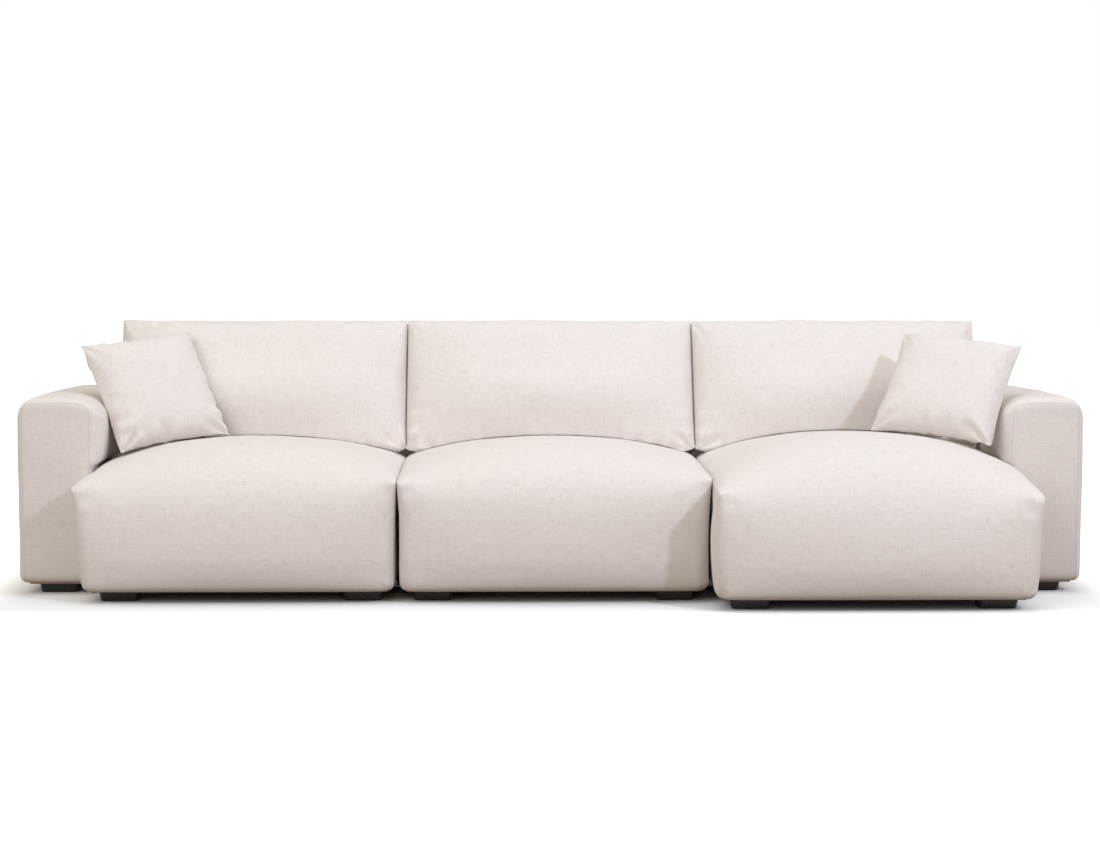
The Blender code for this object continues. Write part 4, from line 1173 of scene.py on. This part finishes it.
def arm_seams(item, side, sign, plan, top):
    """The seam that joins an arm's front panel to the band round its sides and top."""
    bpy.context.view_layer.update()
    outer = plan[0] + ARM_SEAM_OUTER if sign < 0 else plan[1] - ARM_SEAM_OUTER
    inner = plan[1] - ARM_SEAM_INNER if sign < 0 else plan[0] + ARM_SEAM_INNER
    front, high = plan[2], top - ARM_SEAM_TOP
    low, turn = high - ARM_SEAM_TURN, ARM_SEAM_TURN

    def corner(x, inward):
        """The seam's turn from upright to level."""
        steps = range(ARM_SEAM_TURN_STEPS + 1)
        angles = [math.pi / 2 * i / ARM_SEAM_TURN_STEPS for i in steps]
        return [
            (x + inward * turn * (1 - math.cos(a)), front, low + turn * math.sin(a))
            for a in angles
        ]

    rise, fall = corner(outer, -sign), corner(inner, sign)[::-1]
    across = np.arange(rise[-1][0], fall[0][0], -sign * ARM_SEAM_STEP)[1:]
    hem = HEM_Z + ARM_SEAM_HEM
    path = [(outer, front, z) for z in np.arange(hem, low, ARM_SEAM_STEP)] + rise
    path += [(x, front, high) for x in across] + fall
    path += [(inner, front, z) for z in np.arange(low, hem, -ARM_SEAM_STEP)]
    keep_seam(ARM_BODIES[side], on_surface(item, path))


def make_back(name, sizes):
    """The padded back of one module, behind its cushions."""
    node = name + "_back_cover"
    low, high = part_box(node)
    x = MODULE_X[name]
    plan = (low.x - x, high.x - x, low.y, high.y)
    body = Upholstery(
        plan, HEM_Z, sizes.cloth_cell * BACK_CELLS,
        lambda px, py: shouldered(px, py, plan, BACK_SHOULDERS, high.z, BACK_DROP, BACK_DROP),
        lambda t: BACK_CORNER_RADIUS + 0 * t,
        BACK_SHOULDERS,
    )
    mesh, grids = body.build(name + "_back")
    item = linked(name + "_back", mesh)
    held = np.full(len(mesh.vertices), HOLD["back"])
    hold_hems(held, grids)
    drape(item, held, "back", sizes.cloth_excess, sizes.seed + BACK_SEED)
    subdivide(item)
    move_vertices(item.data, coordinates(item.data) + (x, 0, 0))
    final = coordinates(item.data)
    middle = grids["rear"].shape[1] // 2
    keep_seam(MODULE_BODIES[name], final[grids["rear"][2:, middle]])
    dress(item, MODULE_BODIES[name], "linen", node, fill=FILL["back"])


# Loose cushions


class Pillow:
    """Two bulging panels on one knife-edged seam, with drawn-in sides."""

    def __init__(self, half_width, half_height, cell, shape):
        self.half = (half_width, half_height)
        for key, value in shape.items():
            setattr(self, key, value)
        self.columns = 2 * round(half_width / cell)
        self.rows = 2 * round(half_height / cell)

    @staticmethod
    def spaced(steps):
        """Lines from seam to seam, closer together near the seams."""
        even = np.linspace(-1, 1, steps + 1)
        return (1 - SEAM_CROWDING) * even + SEAM_CROWDING * np.sin(even * math.pi / 2)

    def panel(self, which):
        """Points of the front panel, 0, or of the rear one, 1."""
        s, t = np.meshgrid(self.spaced(self.columns), self.spaced(self.rows))
        across, up = self.half
        x = s * (across - self.pinch[0] * (1 - t * t))
        z = t * (up - self.pinch[1] * (1 - s * s))
        x, z = soften(x, z, (-across, across, -up, up), np.where(z < 0, self.corner, 0))
        upright = np.where(t < 0, 1 - np.abs(t) ** self.belly, 1 - t**PANEL_POWER)
        depth = self.bulges[which] * ((1 - s**PANEL_POWER) * upright) ** PILLOW_POWER
        low = REAR_FULLNESS if which else smooth_step((FULLNESS_TOP - t) / FULLNESS_FADE)
        depth = depth * (1 + self.fullness * (1 - s * s) * (1 - t * t) * low)
        if which:
            side = 1 - np.abs(s)
            along = np.sqrt(1 - t**SIDE_WALL_POWER)
            straight = hump(side, 0, SIDE_WALL) * along * self.boxed
            swell = across * side + SIDE_SWELL * (1 - np.exp(-side / SIDE_TURN))
            x = x + np.sign(s) * swell * straight
        points = np.stack([x, depth if which else -depth, z], -1)
        return points, np.stack([s * across + REAR_PANEL_MAP * which, t * up], -1)

    def build(self, name):
        """The mesh, the index grid of its rear panel, and the indices of its seam."""
        cloth = Cloth()
        front = cloth.patch(*self.panel(0))
        rear = cloth.patch(*self.panel(1), flip=True)
        seam = list(front[0, :]) + list(front[1:, -1]) + list(front[-1, -2::-1])
        seam += list(front[-2:0:-1, 0])
        return cloth.mesh(name), rear, seam


def corner_gathers(points, pillow, seed):
    """Radial folds that run from a cushion's corners, and short ones along its seam."""
    across, up = pillow.half
    x, y, z = points.T
    shape = points.copy()
    front = np.where(y <= 0, -1.0, 1.0)
    folds = np.zeros(len(points))
    for i, (sx, sz) in enumerate(((-1, -1), (1, -1), (1, 1), (-1, 1))):
        dx, dz = sx * (sx * across - x), sz * (sz * up - z)
        far = np.hypot(dx, dz)
        angle = np.arctan2(dz, dx)
        wave = np.sin(angle * MANY_FOLDS + seed + FOLD_PHASE * i) * MANY_SHARE
        wave = wave + np.sin(angle * FEW_FOLDS - seed + i) * FEW_SHARE
        deep = LOWER_FOLDS if sz < 0 else UPPER_FOLDS
        folds += deep * wave * hump(far, 0, FOLD_REACH) * np.clip(far / FOLD_START, 0, 1)
    side, end = across - np.abs(x), up - np.abs(z)
    gap = np.minimum(side, end)
    along = np.where(side < end, z, x)
    spots = [Vector((a * RIPPLE_SPOTS, seed * 1.3 + f, 0.4)) for a, f in zip(along, front)]
    random = np.array([noise.noise(spot) for spot in spots])
    ripple = np.sin(along * 2 * math.pi / RIPPLE_LENGTH + 3 * random)
    low = np.clip(-z / up, 0, 1) ** 2
    amount = (random + LOW_RIPPLES * low).clip(0, 1) * (RIPPLE_DEPTH + RIPPLE_DEPTH * low)
    folds += amount * ripple * hump(gap, 0, RIPPLE_REACH) * np.clip(gap / RIPPLE_START, 0, 1)
    shape[:, 1] += front * folds * pillow.gathers
    return shape


def make_pillow(prefix, body, pillow, place, kind, excess, seed):
    """Sews, fills, places and dresses one cushion, and keeps the lines of its seam and zip."""
    mesh, rear, seam = pillow.build(prefix + "_filled")
    item = linked(prefix + "_filled", mesh)
    points = corner_gathers(coordinates(mesh), pillow, seed)
    side, end = pillow.half
    low = np.clip(-points[:, 2] / end, 0, 1) ** DROOP_POWERS[0]
    points[:, 2] -= pillow.droop * low * (np.abs(points[:, 0]) / side) ** DROOP_POWERS[1]
    move_vertices(mesh, points)
    held = np.full(len(mesh.vertices), HOLD["cushion"])
    gap = np.minimum(side - np.abs(points[:, 0]), end - np.abs(points[:, 2]))
    held *= SEAM_HOLD_SHARES[0] + SEAM_HOLD_SHARES[1] * smooth_step(gap / SEAM_HOLD_WIDTH)
    held[seam] = 1.0
    crease_between(mesh, seam, SEAM_CREASE)
    drape(item, held, kind, excess, seed)
    subdivide(item)
    move_vertices(item.data, place(coordinates(item.data)))
    final = coordinates(item.data)
    keep_seam(body, final[seam + seam[:1]])
    inset = rear.shape[1] // ZIP_MARGIN
    zip_lines[prefix] = (body, final[rear[ZIP_ROW, inset:-inset]])
    dress(item, body, "linen", prefix + "_case", prefix + "_pad", fill=FILL[kind])


def cushion_place(name):
    """Leans a back cushion on its back and beds it on its seat's crown, clear of an arm."""
    arm_side = {"left": -1, "centre": 0, "chaise": 1}[name]
    x0 = MODULE_X[name]
    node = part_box(name + "_back_cushion_case")
    lift = node[1].z - cushion_rest_top()
    cos, sin = math.cos(CUSHION_LEAN), math.sin(CUSHION_LEAN)

    def place(points):
        x, y, z = points.T
        z = z + CUSHION_HEIGHT / 2
        y, z = y * cos + z * sin, z * cos - y * sin
        y = y + PANEL_Y - CUSHION_SET
        z = z + CUSHION_SEAM_Z
        beside = np.clip((ARM_TOP_Z + CUSHION_FLARE - z) / CUSHION_FLARE, 0, 1)
        x = np.where(arm_side * x > 0, x * (1 - beside * CUSHION_INSET / HALF_SEAT), x)
        reach = PANEL_Y + CUSHION_OVERHANG * np.maximum(z - BACK_TOP_Z, 0)
        over = np.clip((y - reach + REAR_MARGIN) / REAR_SETTLING, -30, 30)
        y = y - REAR_SETTLING * np.log1p(np.exp(over))
        x = np.clip(x, -SIDE_CONTACT, SIDE_CONTACT)
        z = np.maximum(z, seat_top(name, x, y) + REST_MARGIN)
        return np.stack([x + x0, y, z + lift], -1)

    return place


def cushion_rest_top():
    """Height of a leaning back cushion's upper seam."""
    return CUSHION_SEAM_Z + CUSHION_HEIGHT * math.cos(CUSHION_LEAN)


def make_back_cushion(name, sizes):
    """A loose cushion that leans on the back of its module."""
    pillow = Pillow(HALF_SEAT - SIDE_GAP, CUSHION_HEIGHT / 2, sizes.cushion_cell, BACK_CUSHION)
    seed = sizes.seed + 5 * MODULES.index(name) + 1
    body = name + "_back_cushion"
    make_pillow(body, body, pillow, cushion_place(name), "back cushion", sizes.cloth_excess, seed)


def scatter_place(side):
    """Turns a scatter cushion and sets it in the corner of its arm."""
    yaw, lean, roll = (math.radians(a) for a in SCATTER_TURNS[side])
    turn = (
        Matrix.Rotation(yaw, 3, "Z") @ Matrix.Rotation(lean, 3, "X") @ Matrix.Rotation(roll, 3, "Y")
    )
    low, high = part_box(side + "_scatter_case")
    centre = np.array((low + high) / 2)

    def place(points):
        return points @ np.array(turn).T + centre

    return place


def make_scatter(side, sizes):
    """A small square cushion with four knife-edged sides."""
    half = SCATTER_SIDE / 2
    pillow = Pillow(half, half, sizes.cushion_cell * SCATTER_CELLS, SCATTER_CUSHION)
    make_pillow(
        side + "_scatter", side + "_scatter_cushion", pillow, scatter_place(side),
        "scatter cushion", sizes.cloth_excess, sizes.seed + SCATTER_SEEDS[side],
    )


# Seams, stitches, zips and staples, repeated by geometry nodes


class Repeater(Nodes):
    """A geometry node tree that runs along a line, built once for each kind of repeat."""

    def __init__(self, name, sizes):
        super().__init__(bpy.data.node_groups.new(name, "GeometryNodeTree"))
        face = self.tree.interface
        face.new_socket("Line", in_out="INPUT", socket_type="NodeSocketGeometry")
        self.ids = {}
        for key, value in sizes.items():
            socket = face.new_socket(key, in_out="INPUT", socket_type="NodeSocketFloat")
            socket.default_value = value
            self.ids[key] = socket.identifier
        for key in ("Finish", "Second finish"):
            socket = face.new_socket(key, in_out="INPUT", socket_type="NodeSocketMaterial")
            self.ids[key] = socket.identifier
        face.new_socket("Geometry", in_out="OUTPUT", socket_type="NodeSocketGeometry")
        self.start = self.tree.nodes.new("NodeGroupInput")
        self.end = self.tree.nodes.new("NodeGroupOutput")

    def given(self, name):
        """One of the tree's own inputs."""
        return self.start.outputs[name]

    def out(self, *parts):
        """Joins the parts and makes them real."""
        join = self.node("GeometryNodeJoinGeometry")
        for part in parts:
            self.join(part, join.inputs[0])
        real = self.node("GeometryNodeRealizeInstances", None, Geometry=join.outputs[0])
        smooth = self.node("GeometryNodeSetShadeSmooth", None, Geometry=real.outputs[0])
        self.join(smooth.outputs[0], self.end.inputs[0])

    def coloured(self, geometry, name):
        """Gives a part one of the two finishes."""
        made = self.node(
            "GeometryNodeSetMaterial", None, Geometry=geometry, Material=self.given(name)
        )
        return made.outputs[0]

    def curve(self):
        """The line that the repeat follows."""
        return self.node("GeometryNodeMeshToCurve", None, Mesh=self.given("Line")).outputs[0]

    def band(self, curve, profile):
        """A profile drawn along a curve."""
        made = self.node(
            "GeometryNodeCurveToMesh", None, Curve=curve, Profile_Curve=profile, Fill_Caps=True
        )
        return made.outputs[0]

    def instances(self, curve, shape, seed, wobble):
        """A shape at every pitch along a curve, turned to it and a little askew."""
        points = self.node(
            "GeometryNodeCurveToPoints", {"mode": "LENGTH"}, Curve=curve,
            Length=self.given("Pitch"),
        )
        jitter = self.node(
            "FunctionNodeRandomValue", {"data_type": "FLOAT_VECTOR"}, Seed=seed,
            Min=(-wobble,) * 3, Max=(wobble,) * 3,
        )
        turned = self.node(
            "FunctionNodeRotateRotation", {"rotation_space": "LOCAL"},
            i0=points.outputs["Rotation"], i1=jitter.outputs[0],
        )
        made = self.node(
            "GeometryNodeInstanceOnPoints", None, Points=points.outputs["Points"],
            Instance=shape, Rotation=turned.outputs[0],
        )
        return made.outputs[0]


def stitch_tree(sizes):
    """A fold of cloth along a seam, with stitches lying beside it."""
    r = Repeater(
        "stitched_seam",
        {"Fold": sizes.seam_cord, "Pitch": sizes.stitch_pitch, "Stitch": sizes.stitch_length,
         "Thread": sizes.thread},
    )
    curve = r.curve()
    half = r.math("MULTIPLY", r.given("Fold"), 0.5)
    fold = r.node("GeometryNodeCurvePrimitiveCircle", None, Resolution=6, Radius=half)
    stitch = r.node(
        "GeometryNodeMeshCylinder", None, Vertices=5, Side_Segments=1,
        Radius=r.math("MULTIPLY", r.given("Thread"), 0.5), Depth=r.given("Stitch"),
    )
    aside = r.node("ShaderNodeCombineXYZ", None, i0=half)
    moved = r.node(
        "GeometryNodeTransform", None, Geometry=stitch.outputs[0], Translation=aside.outputs[0]
    )
    stitches = r.instances(curve, moved.outputs[0], 3, STITCH_WOBBLE)
    band = r.band(curve, fold.outputs[0])
    r.out(r.coloured(band, "Finish"), r.coloured(stitches, "Second finish"))
    return r


def zip_tree(sizes):
    """A flat zip tape with a row of moulded teeth."""
    r = Repeater("toothed_zip", {"Pitch": sizes.tooth_pitch, "Tape": ZIP_TAPE})
    curve = r.curve()
    flat = r.node(
        "GeometryNodeCurvePrimitiveQuadrilateral", {"mode": "RECTANGLE"}, Width=r.given("Tape"),
        Height=TAPE_THICKNESS,
    )
    tooth = r.node("GeometryNodeMeshCube", None, Size=TOOTH)
    teeth = r.instances(curve, tooth.outputs[0], 5, TOOTH_WOBBLE)
    tape = r.band(curve, flat.outputs[0])
    r.out(r.coloured(tape, "Finish"), r.coloured(teeth, "Second finish"))
    return r


def staple_tree(sizes):
    """Staples along the edge of a lining."""
    r = Repeater("stapled_edge", {"Pitch": sizes.staple_pitch})
    crown = r.node("GeometryNodeMeshCube", None, Size=STAPLE)
    staples = r.instances(r.curve(), crown.outputs[0], 9, STAPLE_WOBBLE)
    r.out(r.coloured(staples, "Finish"))
    return r


def repeated(name, tree, lines, finish_name, second, **values):
    """Runs a tree along lines and returns the result as a plain mesh object."""
    mesh = bpy.data.meshes.new(name)
    points, edges = [], []
    for line in lines:
        base = len(points)
        points += [tuple(map(float, p)) for p in line]
        edges += [(base + i, base + i + 1) for i in range(len(line) - 1)]
    mesh.from_pydata(points, edges, [])
    item = linked(name, mesh)
    modifier = item.modifiers.new("repeat", "NODES")
    modifier.node_group = tree.tree
    for key, value in values.items():
        modifier[tree.ids[key]] = value
    modifier[tree.ids["Finish"]] = finish(finish_name)
    modifier[tree.ids["Second finish"]] = finish(second)
    bpy.context.view_layer.update()
    made = evaluated(item)
    item.modifiers.clear()
    item.data = made
    bpy.data.meshes.remove(mesh)
    made.name = name
    if not made.polygons:
        raise RuntimeError(f"{name} came out empty")
    return item


# The stage


def lamp(name, place, size, power, tint):
    """A round lamp that is turned to the sofa."""
    data = bpy.data.lights.new(name, "AREA")
    data.shape = "DISK"
    data.size = size
    data.energy = power
    data.color = tint
    item = linked(name, data)
    item.location = place
    aim = Vector(LAMP_TARGET) - Vector(place)
    item.rotation_euler = aim.to_track_quat("-Z", "Y").to_euler()


def white_floor():
    """A pale floor that reads white to the camera and keeps the shadow."""
    s = Shader("studio_floor")
    s.tree.nodes.remove(s.surface)
    output = next(n for n in s.tree.nodes if n.type == "OUTPUT_MATERIAL")
    place = s.place()
    split = s.node("ShaderNodeSeparateXYZ", None, i0=place)
    squares = []
    for axis, reach in enumerate(GLOW_BOX):
        off = s.math("SUBTRACT", s.math("ABSOLUTE", split.outputs[axis]), reach)
        squares.append(s.math("POWER", s.math("MAXIMUM", off, 0.0), 2.0))
    away = s.math("SQRT", s.math("ADD", *squares))
    pale = s.mix(s.noise(place, 40.0), *FLOOR_COLOURS)
    matt = s.node("ShaderNodeBsdfDiffuse", None, i0=pale)
    glow = s.node("ShaderNodeEmission", None, Strength=s.ramp(away, 0.0, GLOW_WIDTH))
    seen = s.node("ShaderNodeAddShader", None, i0=matt.outputs[0], i1=glow.outputs[0])
    unseen = s.node("ShaderNodeBsdfDiffuse", None, i0=painted(FLOOR_BOUNCE))
    rays = s.node("ShaderNodeLightPath").outputs
    mirrored = s.math("MAXIMUM", rays["Is Glossy Ray"], rays["Is Transmission Ray"])
    mix = s.node(
        "ShaderNodeMixShader", None, i0=s.math("MAXIMUM", rays["Is Camera Ray"], mirrored),
        i1=unseen.outputs[0], i2=seen.outputs[0],
    )
    s.join(mix.outputs[0], output.inputs[0])
    return s.material


def studio_world():
    """Soft light from all round, where the camera sees plain white."""
    world = bpy.data.worlds.new("studio")
    world.use_nodes = True
    n = Nodes(world.node_tree)
    soft = n.tree.nodes["Background"]
    n.join(painted(WORLD_COLOUR), soft.inputs[0])
    n.join(WORLD_STRENGTH, soft.inputs[1])
    white = n.node("ShaderNodeBackground", None, i0=(1.0, 1.0, 1.0, 1.0), i1=1.0)
    rays = n.node("ShaderNodeLightPath").outputs
    mix = n.node(
        "ShaderNodeMixShader", None,
        i0=n.math("MAXIMUM", rays["Is Camera Ray"], rays["Is Transmission Ray"]),
        i1=soft.outputs[0], i2=white.outputs[0],
    )
    n.join(mix.outputs[0], n.tree.nodes["World Output"].inputs[0])
    bpy.context.scene.world = world


def make_camera():
    """The photograph's camera."""
    data = bpy.data.cameras.new("camera")
    data.sensor_width = SENSOR
    data.lens = FOCAL_PIXELS / IMAGE_WIDTH * SENSOR
    data.clip_start, data.clip_end = 0.1, 100.0
    item = linked("camera", data)
    turn = (
        Matrix.Rotation(-CAMERA_YAW, 4, "Z")
        @ Matrix.Rotation(math.pi / 2 - CAMERA_PITCH, 4, "X")
        @ Matrix.Rotation(CAMERA_ROLL, 4, "Z")
    )
    item.matrix_world = Matrix.Translation(CAMERA_PLACE) @ turn
    bpy.context.scene.camera = item


# Operators


class SOFA_OT_seats(bpy.types.Operator):
    """Make the three upholstered seats"""

    bl_idname = "sofa.seats"
    bl_label = "Seats"

    def execute(self, context):
        for name in MODULES:
            make_seat(name, context.scene.sofa_sizes)
        return {"FINISHED"}


class SOFA_OT_arms(bpy.types.Operator):
    """Make the two padded arms"""

    bl_idname = "sofa.arms"
    bl_label = "Arms"

    def execute(self, context):
        for side in ("left", "right"):
            make_arm(side, context.scene.sofa_sizes)
        return {"FINISHED"}


class SOFA_OT_backs(bpy.types.Operator):
    """Make the padded backs behind the cushions"""

    bl_idname = "sofa.backs"
    bl_label = "Backs"

    def execute(self, context):
        for name in MODULES:
            make_back(name, context.scene.sofa_sizes)
        return {"FINISHED"}


class SOFA_OT_back_cushions(bpy.types.Operator):
    """Make the three loose back cushions"""

    bl_idname = "sofa.back_cushions"
    bl_label = "Back cushions"

    def execute(self, context):
        for name in MODULES:
            make_back_cushion(name, context.scene.sofa_sizes)
        return {"FINISHED"}


class SOFA_OT_scatter_cushions(bpy.types.Operator):
    """Make the two scatter cushions"""

    bl_idname = "sofa.scatter_cushions"
    bl_label = "Scatter cushions"

    def execute(self, context):
        for side in ("left", "right"):
            make_scatter(side, context.scene.sofa_sizes)
        return {"FINISHED"}


class SOFA_OT_seams(bpy.types.Operator):
    """Sew the seams of every cover, with their stitches"""

    bl_idname = "sofa.seams"
    bl_label = "Seams and stitches"

    def execute(self, context):
        sizes = context.scene.sofa_sizes
        tree = stitch_tree(sizes)
        for body, lines in seam_lines.items():
            loose = body.endswith("cushion")
            item = repeated(
                body + "_seams", tree, lines, "seam_cloth", "sewing_thread",
                Fold=sizes.seam_cord * (LOOSE_FOLD if loose else FAST_FOLD),
                Pitch=sizes.stitch_pitch, Stitch=sizes.stitch_length, Thread=sizes.thread,
            )
            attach(item, body)
        return {"FINISHED"}


class SOFA_OT_zips(bpy.types.Operator):
    """Sew a zip into the foot of each loose cushion"""

    bl_idname = "sofa.zips"
    bl_label = "Zips"

    def execute(self, context):
        sizes = context.scene.sofa_sizes
        tree = zip_tree(sizes)
        for prefix, (body, line) in zip_lines.items():
            item = repeated(
                body + "_toothed_zip", tree, [line], "zip_tape", "sewing_thread",
                Pitch=sizes.tooth_pitch, Tape=ZIP_TAPE,
            )
            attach(item, body)
            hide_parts(prefix + "_zip")
        return {"FINISHED"}


class SOFA_OT_linings(bpy.types.Operator):
    """Stretch and staple the dust cloth under each base"""

    bl_idname = "sofa.linings"
    bl_label = "Linings"

    def execute(self, context):
        sizes = context.scene.sofa_sizes
        tree = staple_tree(sizes)
        for name in MODULES:
            low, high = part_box(name + "_lining")
            x, y = np.meshgrid(
                np.linspace(low.x, high.x, LINING_CELLS + 1),
                np.linspace(low.y, high.y, LINING_CELLS + 1),
            )
            z = (low.z + high.z) / 2 + 0 * x
            cloth = Cloth()
            cloth.patch(np.stack([x, y, z], -1), np.stack([x, y], -1), flip=True)
            item = linked(name + "_dust_cloth", cloth.mesh(name + "_dust_cloth"))
            dress(item, MODULE_BODIES[name], "dust_cloth", name + "_lining", slot="lining")
            x0, x1 = low.x + STAPLE_INSET, high.x - STAPLE_INSET
            y0, y1 = low.y + STAPLE_INSET, high.y - STAPLE_INSET
            under = low.z - STAPLE_DEPTH
            corners = [(x0, y0, under), (x1, y0, under), (x1, y1, under), (x0, y1, under)]
            staples = repeated(
                name + "_staples", tree, [corners + corners[:1]], "plain_steel", "plain_steel",
                Pitch=sizes.staple_pitch,
            )
            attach(staples, MODULE_BODIES[name])
        return {"FINISHED"}


class SOFA_OT_fittings(bpy.types.Operator):
    """Finish the feet, the frames and the rails that join the modules"""

    bl_idname = "sofa.fittings"
    bl_label = "Feet, frames and rails"

    def execute(self, context):
        kinds = {"_foot_": "block_foot", "_frame": "frame_timber", "_rail": "plain_steel"}
        for name, node in frame["nodes"].items():
            found = [value for key, value in kinds.items() if key in name]
            if found:
                node.data.materials.clear()
                node.data.materials.append(finish(found[0]))
        return {"FINISHED"}


class SOFA_OT_stage(bpy.types.Operator):
    """Set the floor, the lamps, the world and the camera"""

    bl_idname = "sofa.stage"
    bl_label = "Stage"

    def execute(self, context):
        mesh = bpy.data.meshes.new("studio_floor")
        ends = (-FLOOR_REACH, FLOOR_REACH)
        corners = [(x, y, 0) for y in ends for x in ends]
        mesh.from_pydata(corners, [], [(0, 1, 3, 2)])
        floor = linked("studio_floor", mesh)
        mesh.materials.append(white_floor())
        for name, (place, size, power, tint) in LAMPS.items():
            lamp(name, place, size, power, tint)
        studio_world()
        make_camera()
        context.scene.view_settings.view_transform = "Standard"
        return {"FINISHED"}


OPERATORS = (
    SOFA_OT_seats, SOFA_OT_arms, SOFA_OT_backs, SOFA_OT_back_cushions,
    SOFA_OT_scatter_cushions, SOFA_OT_seams, SOFA_OT_zips, SOFA_OT_linings,
    SOFA_OT_fittings, SOFA_OT_stage,
)


class SOFA_PT_panel(bpy.types.Panel):
    """Sizes, colours and steps of the sofa"""

    bl_idname = "SOFA_PT_panel"
    bl_label = "Modular sofa"
    bl_space_type = "VIEW_3D"
    bl_region_type = "UI"
    bl_category = "Sofa"

    def draw(self, context):
        layout = self.layout
        for group in (context.scene.sofa_sizes, context.scene.sofa_colours):
            column = layout.column()
            for name in group.__annotations__:
                column.prop(group, name)
        for operator in OPERATORS:
            layout.operator(operator.bl_idname)


CLASSES = (SofaSizes, SofaColours, *OPERATORS, SOFA_PT_panel)


def register():
    for item in CLASSES:
        bpy.utils.register_class(item)
    bpy.types.Scene.sofa_sizes = PointerProperty(type=SofaSizes)
    bpy.types.Scene.sofa_colours = PointerProperty(type=SofaColours)


def unregister():
    del bpy.types.Scene.sofa_colours
    del bpy.types.Scene.sofa_sizes
    for item in reversed(CLASSES):
        bpy.utils.unregister_class(item)


def main():
    register()
    for step in (
        bpy.ops.sofa.seats, bpy.ops.sofa.arms, bpy.ops.sofa.backs, bpy.ops.sofa.back_cushions,
        bpy.ops.sofa.scatter_cushions, bpy.ops.sofa.seams, bpy.ops.sofa.zips,
        bpy.ops.sofa.linings, bpy.ops.sofa.fittings, bpy.ops.sofa.stage,
    ):
        step()
    bpy.context.view_layer.update()


if __name__ == "__main__":
    main()
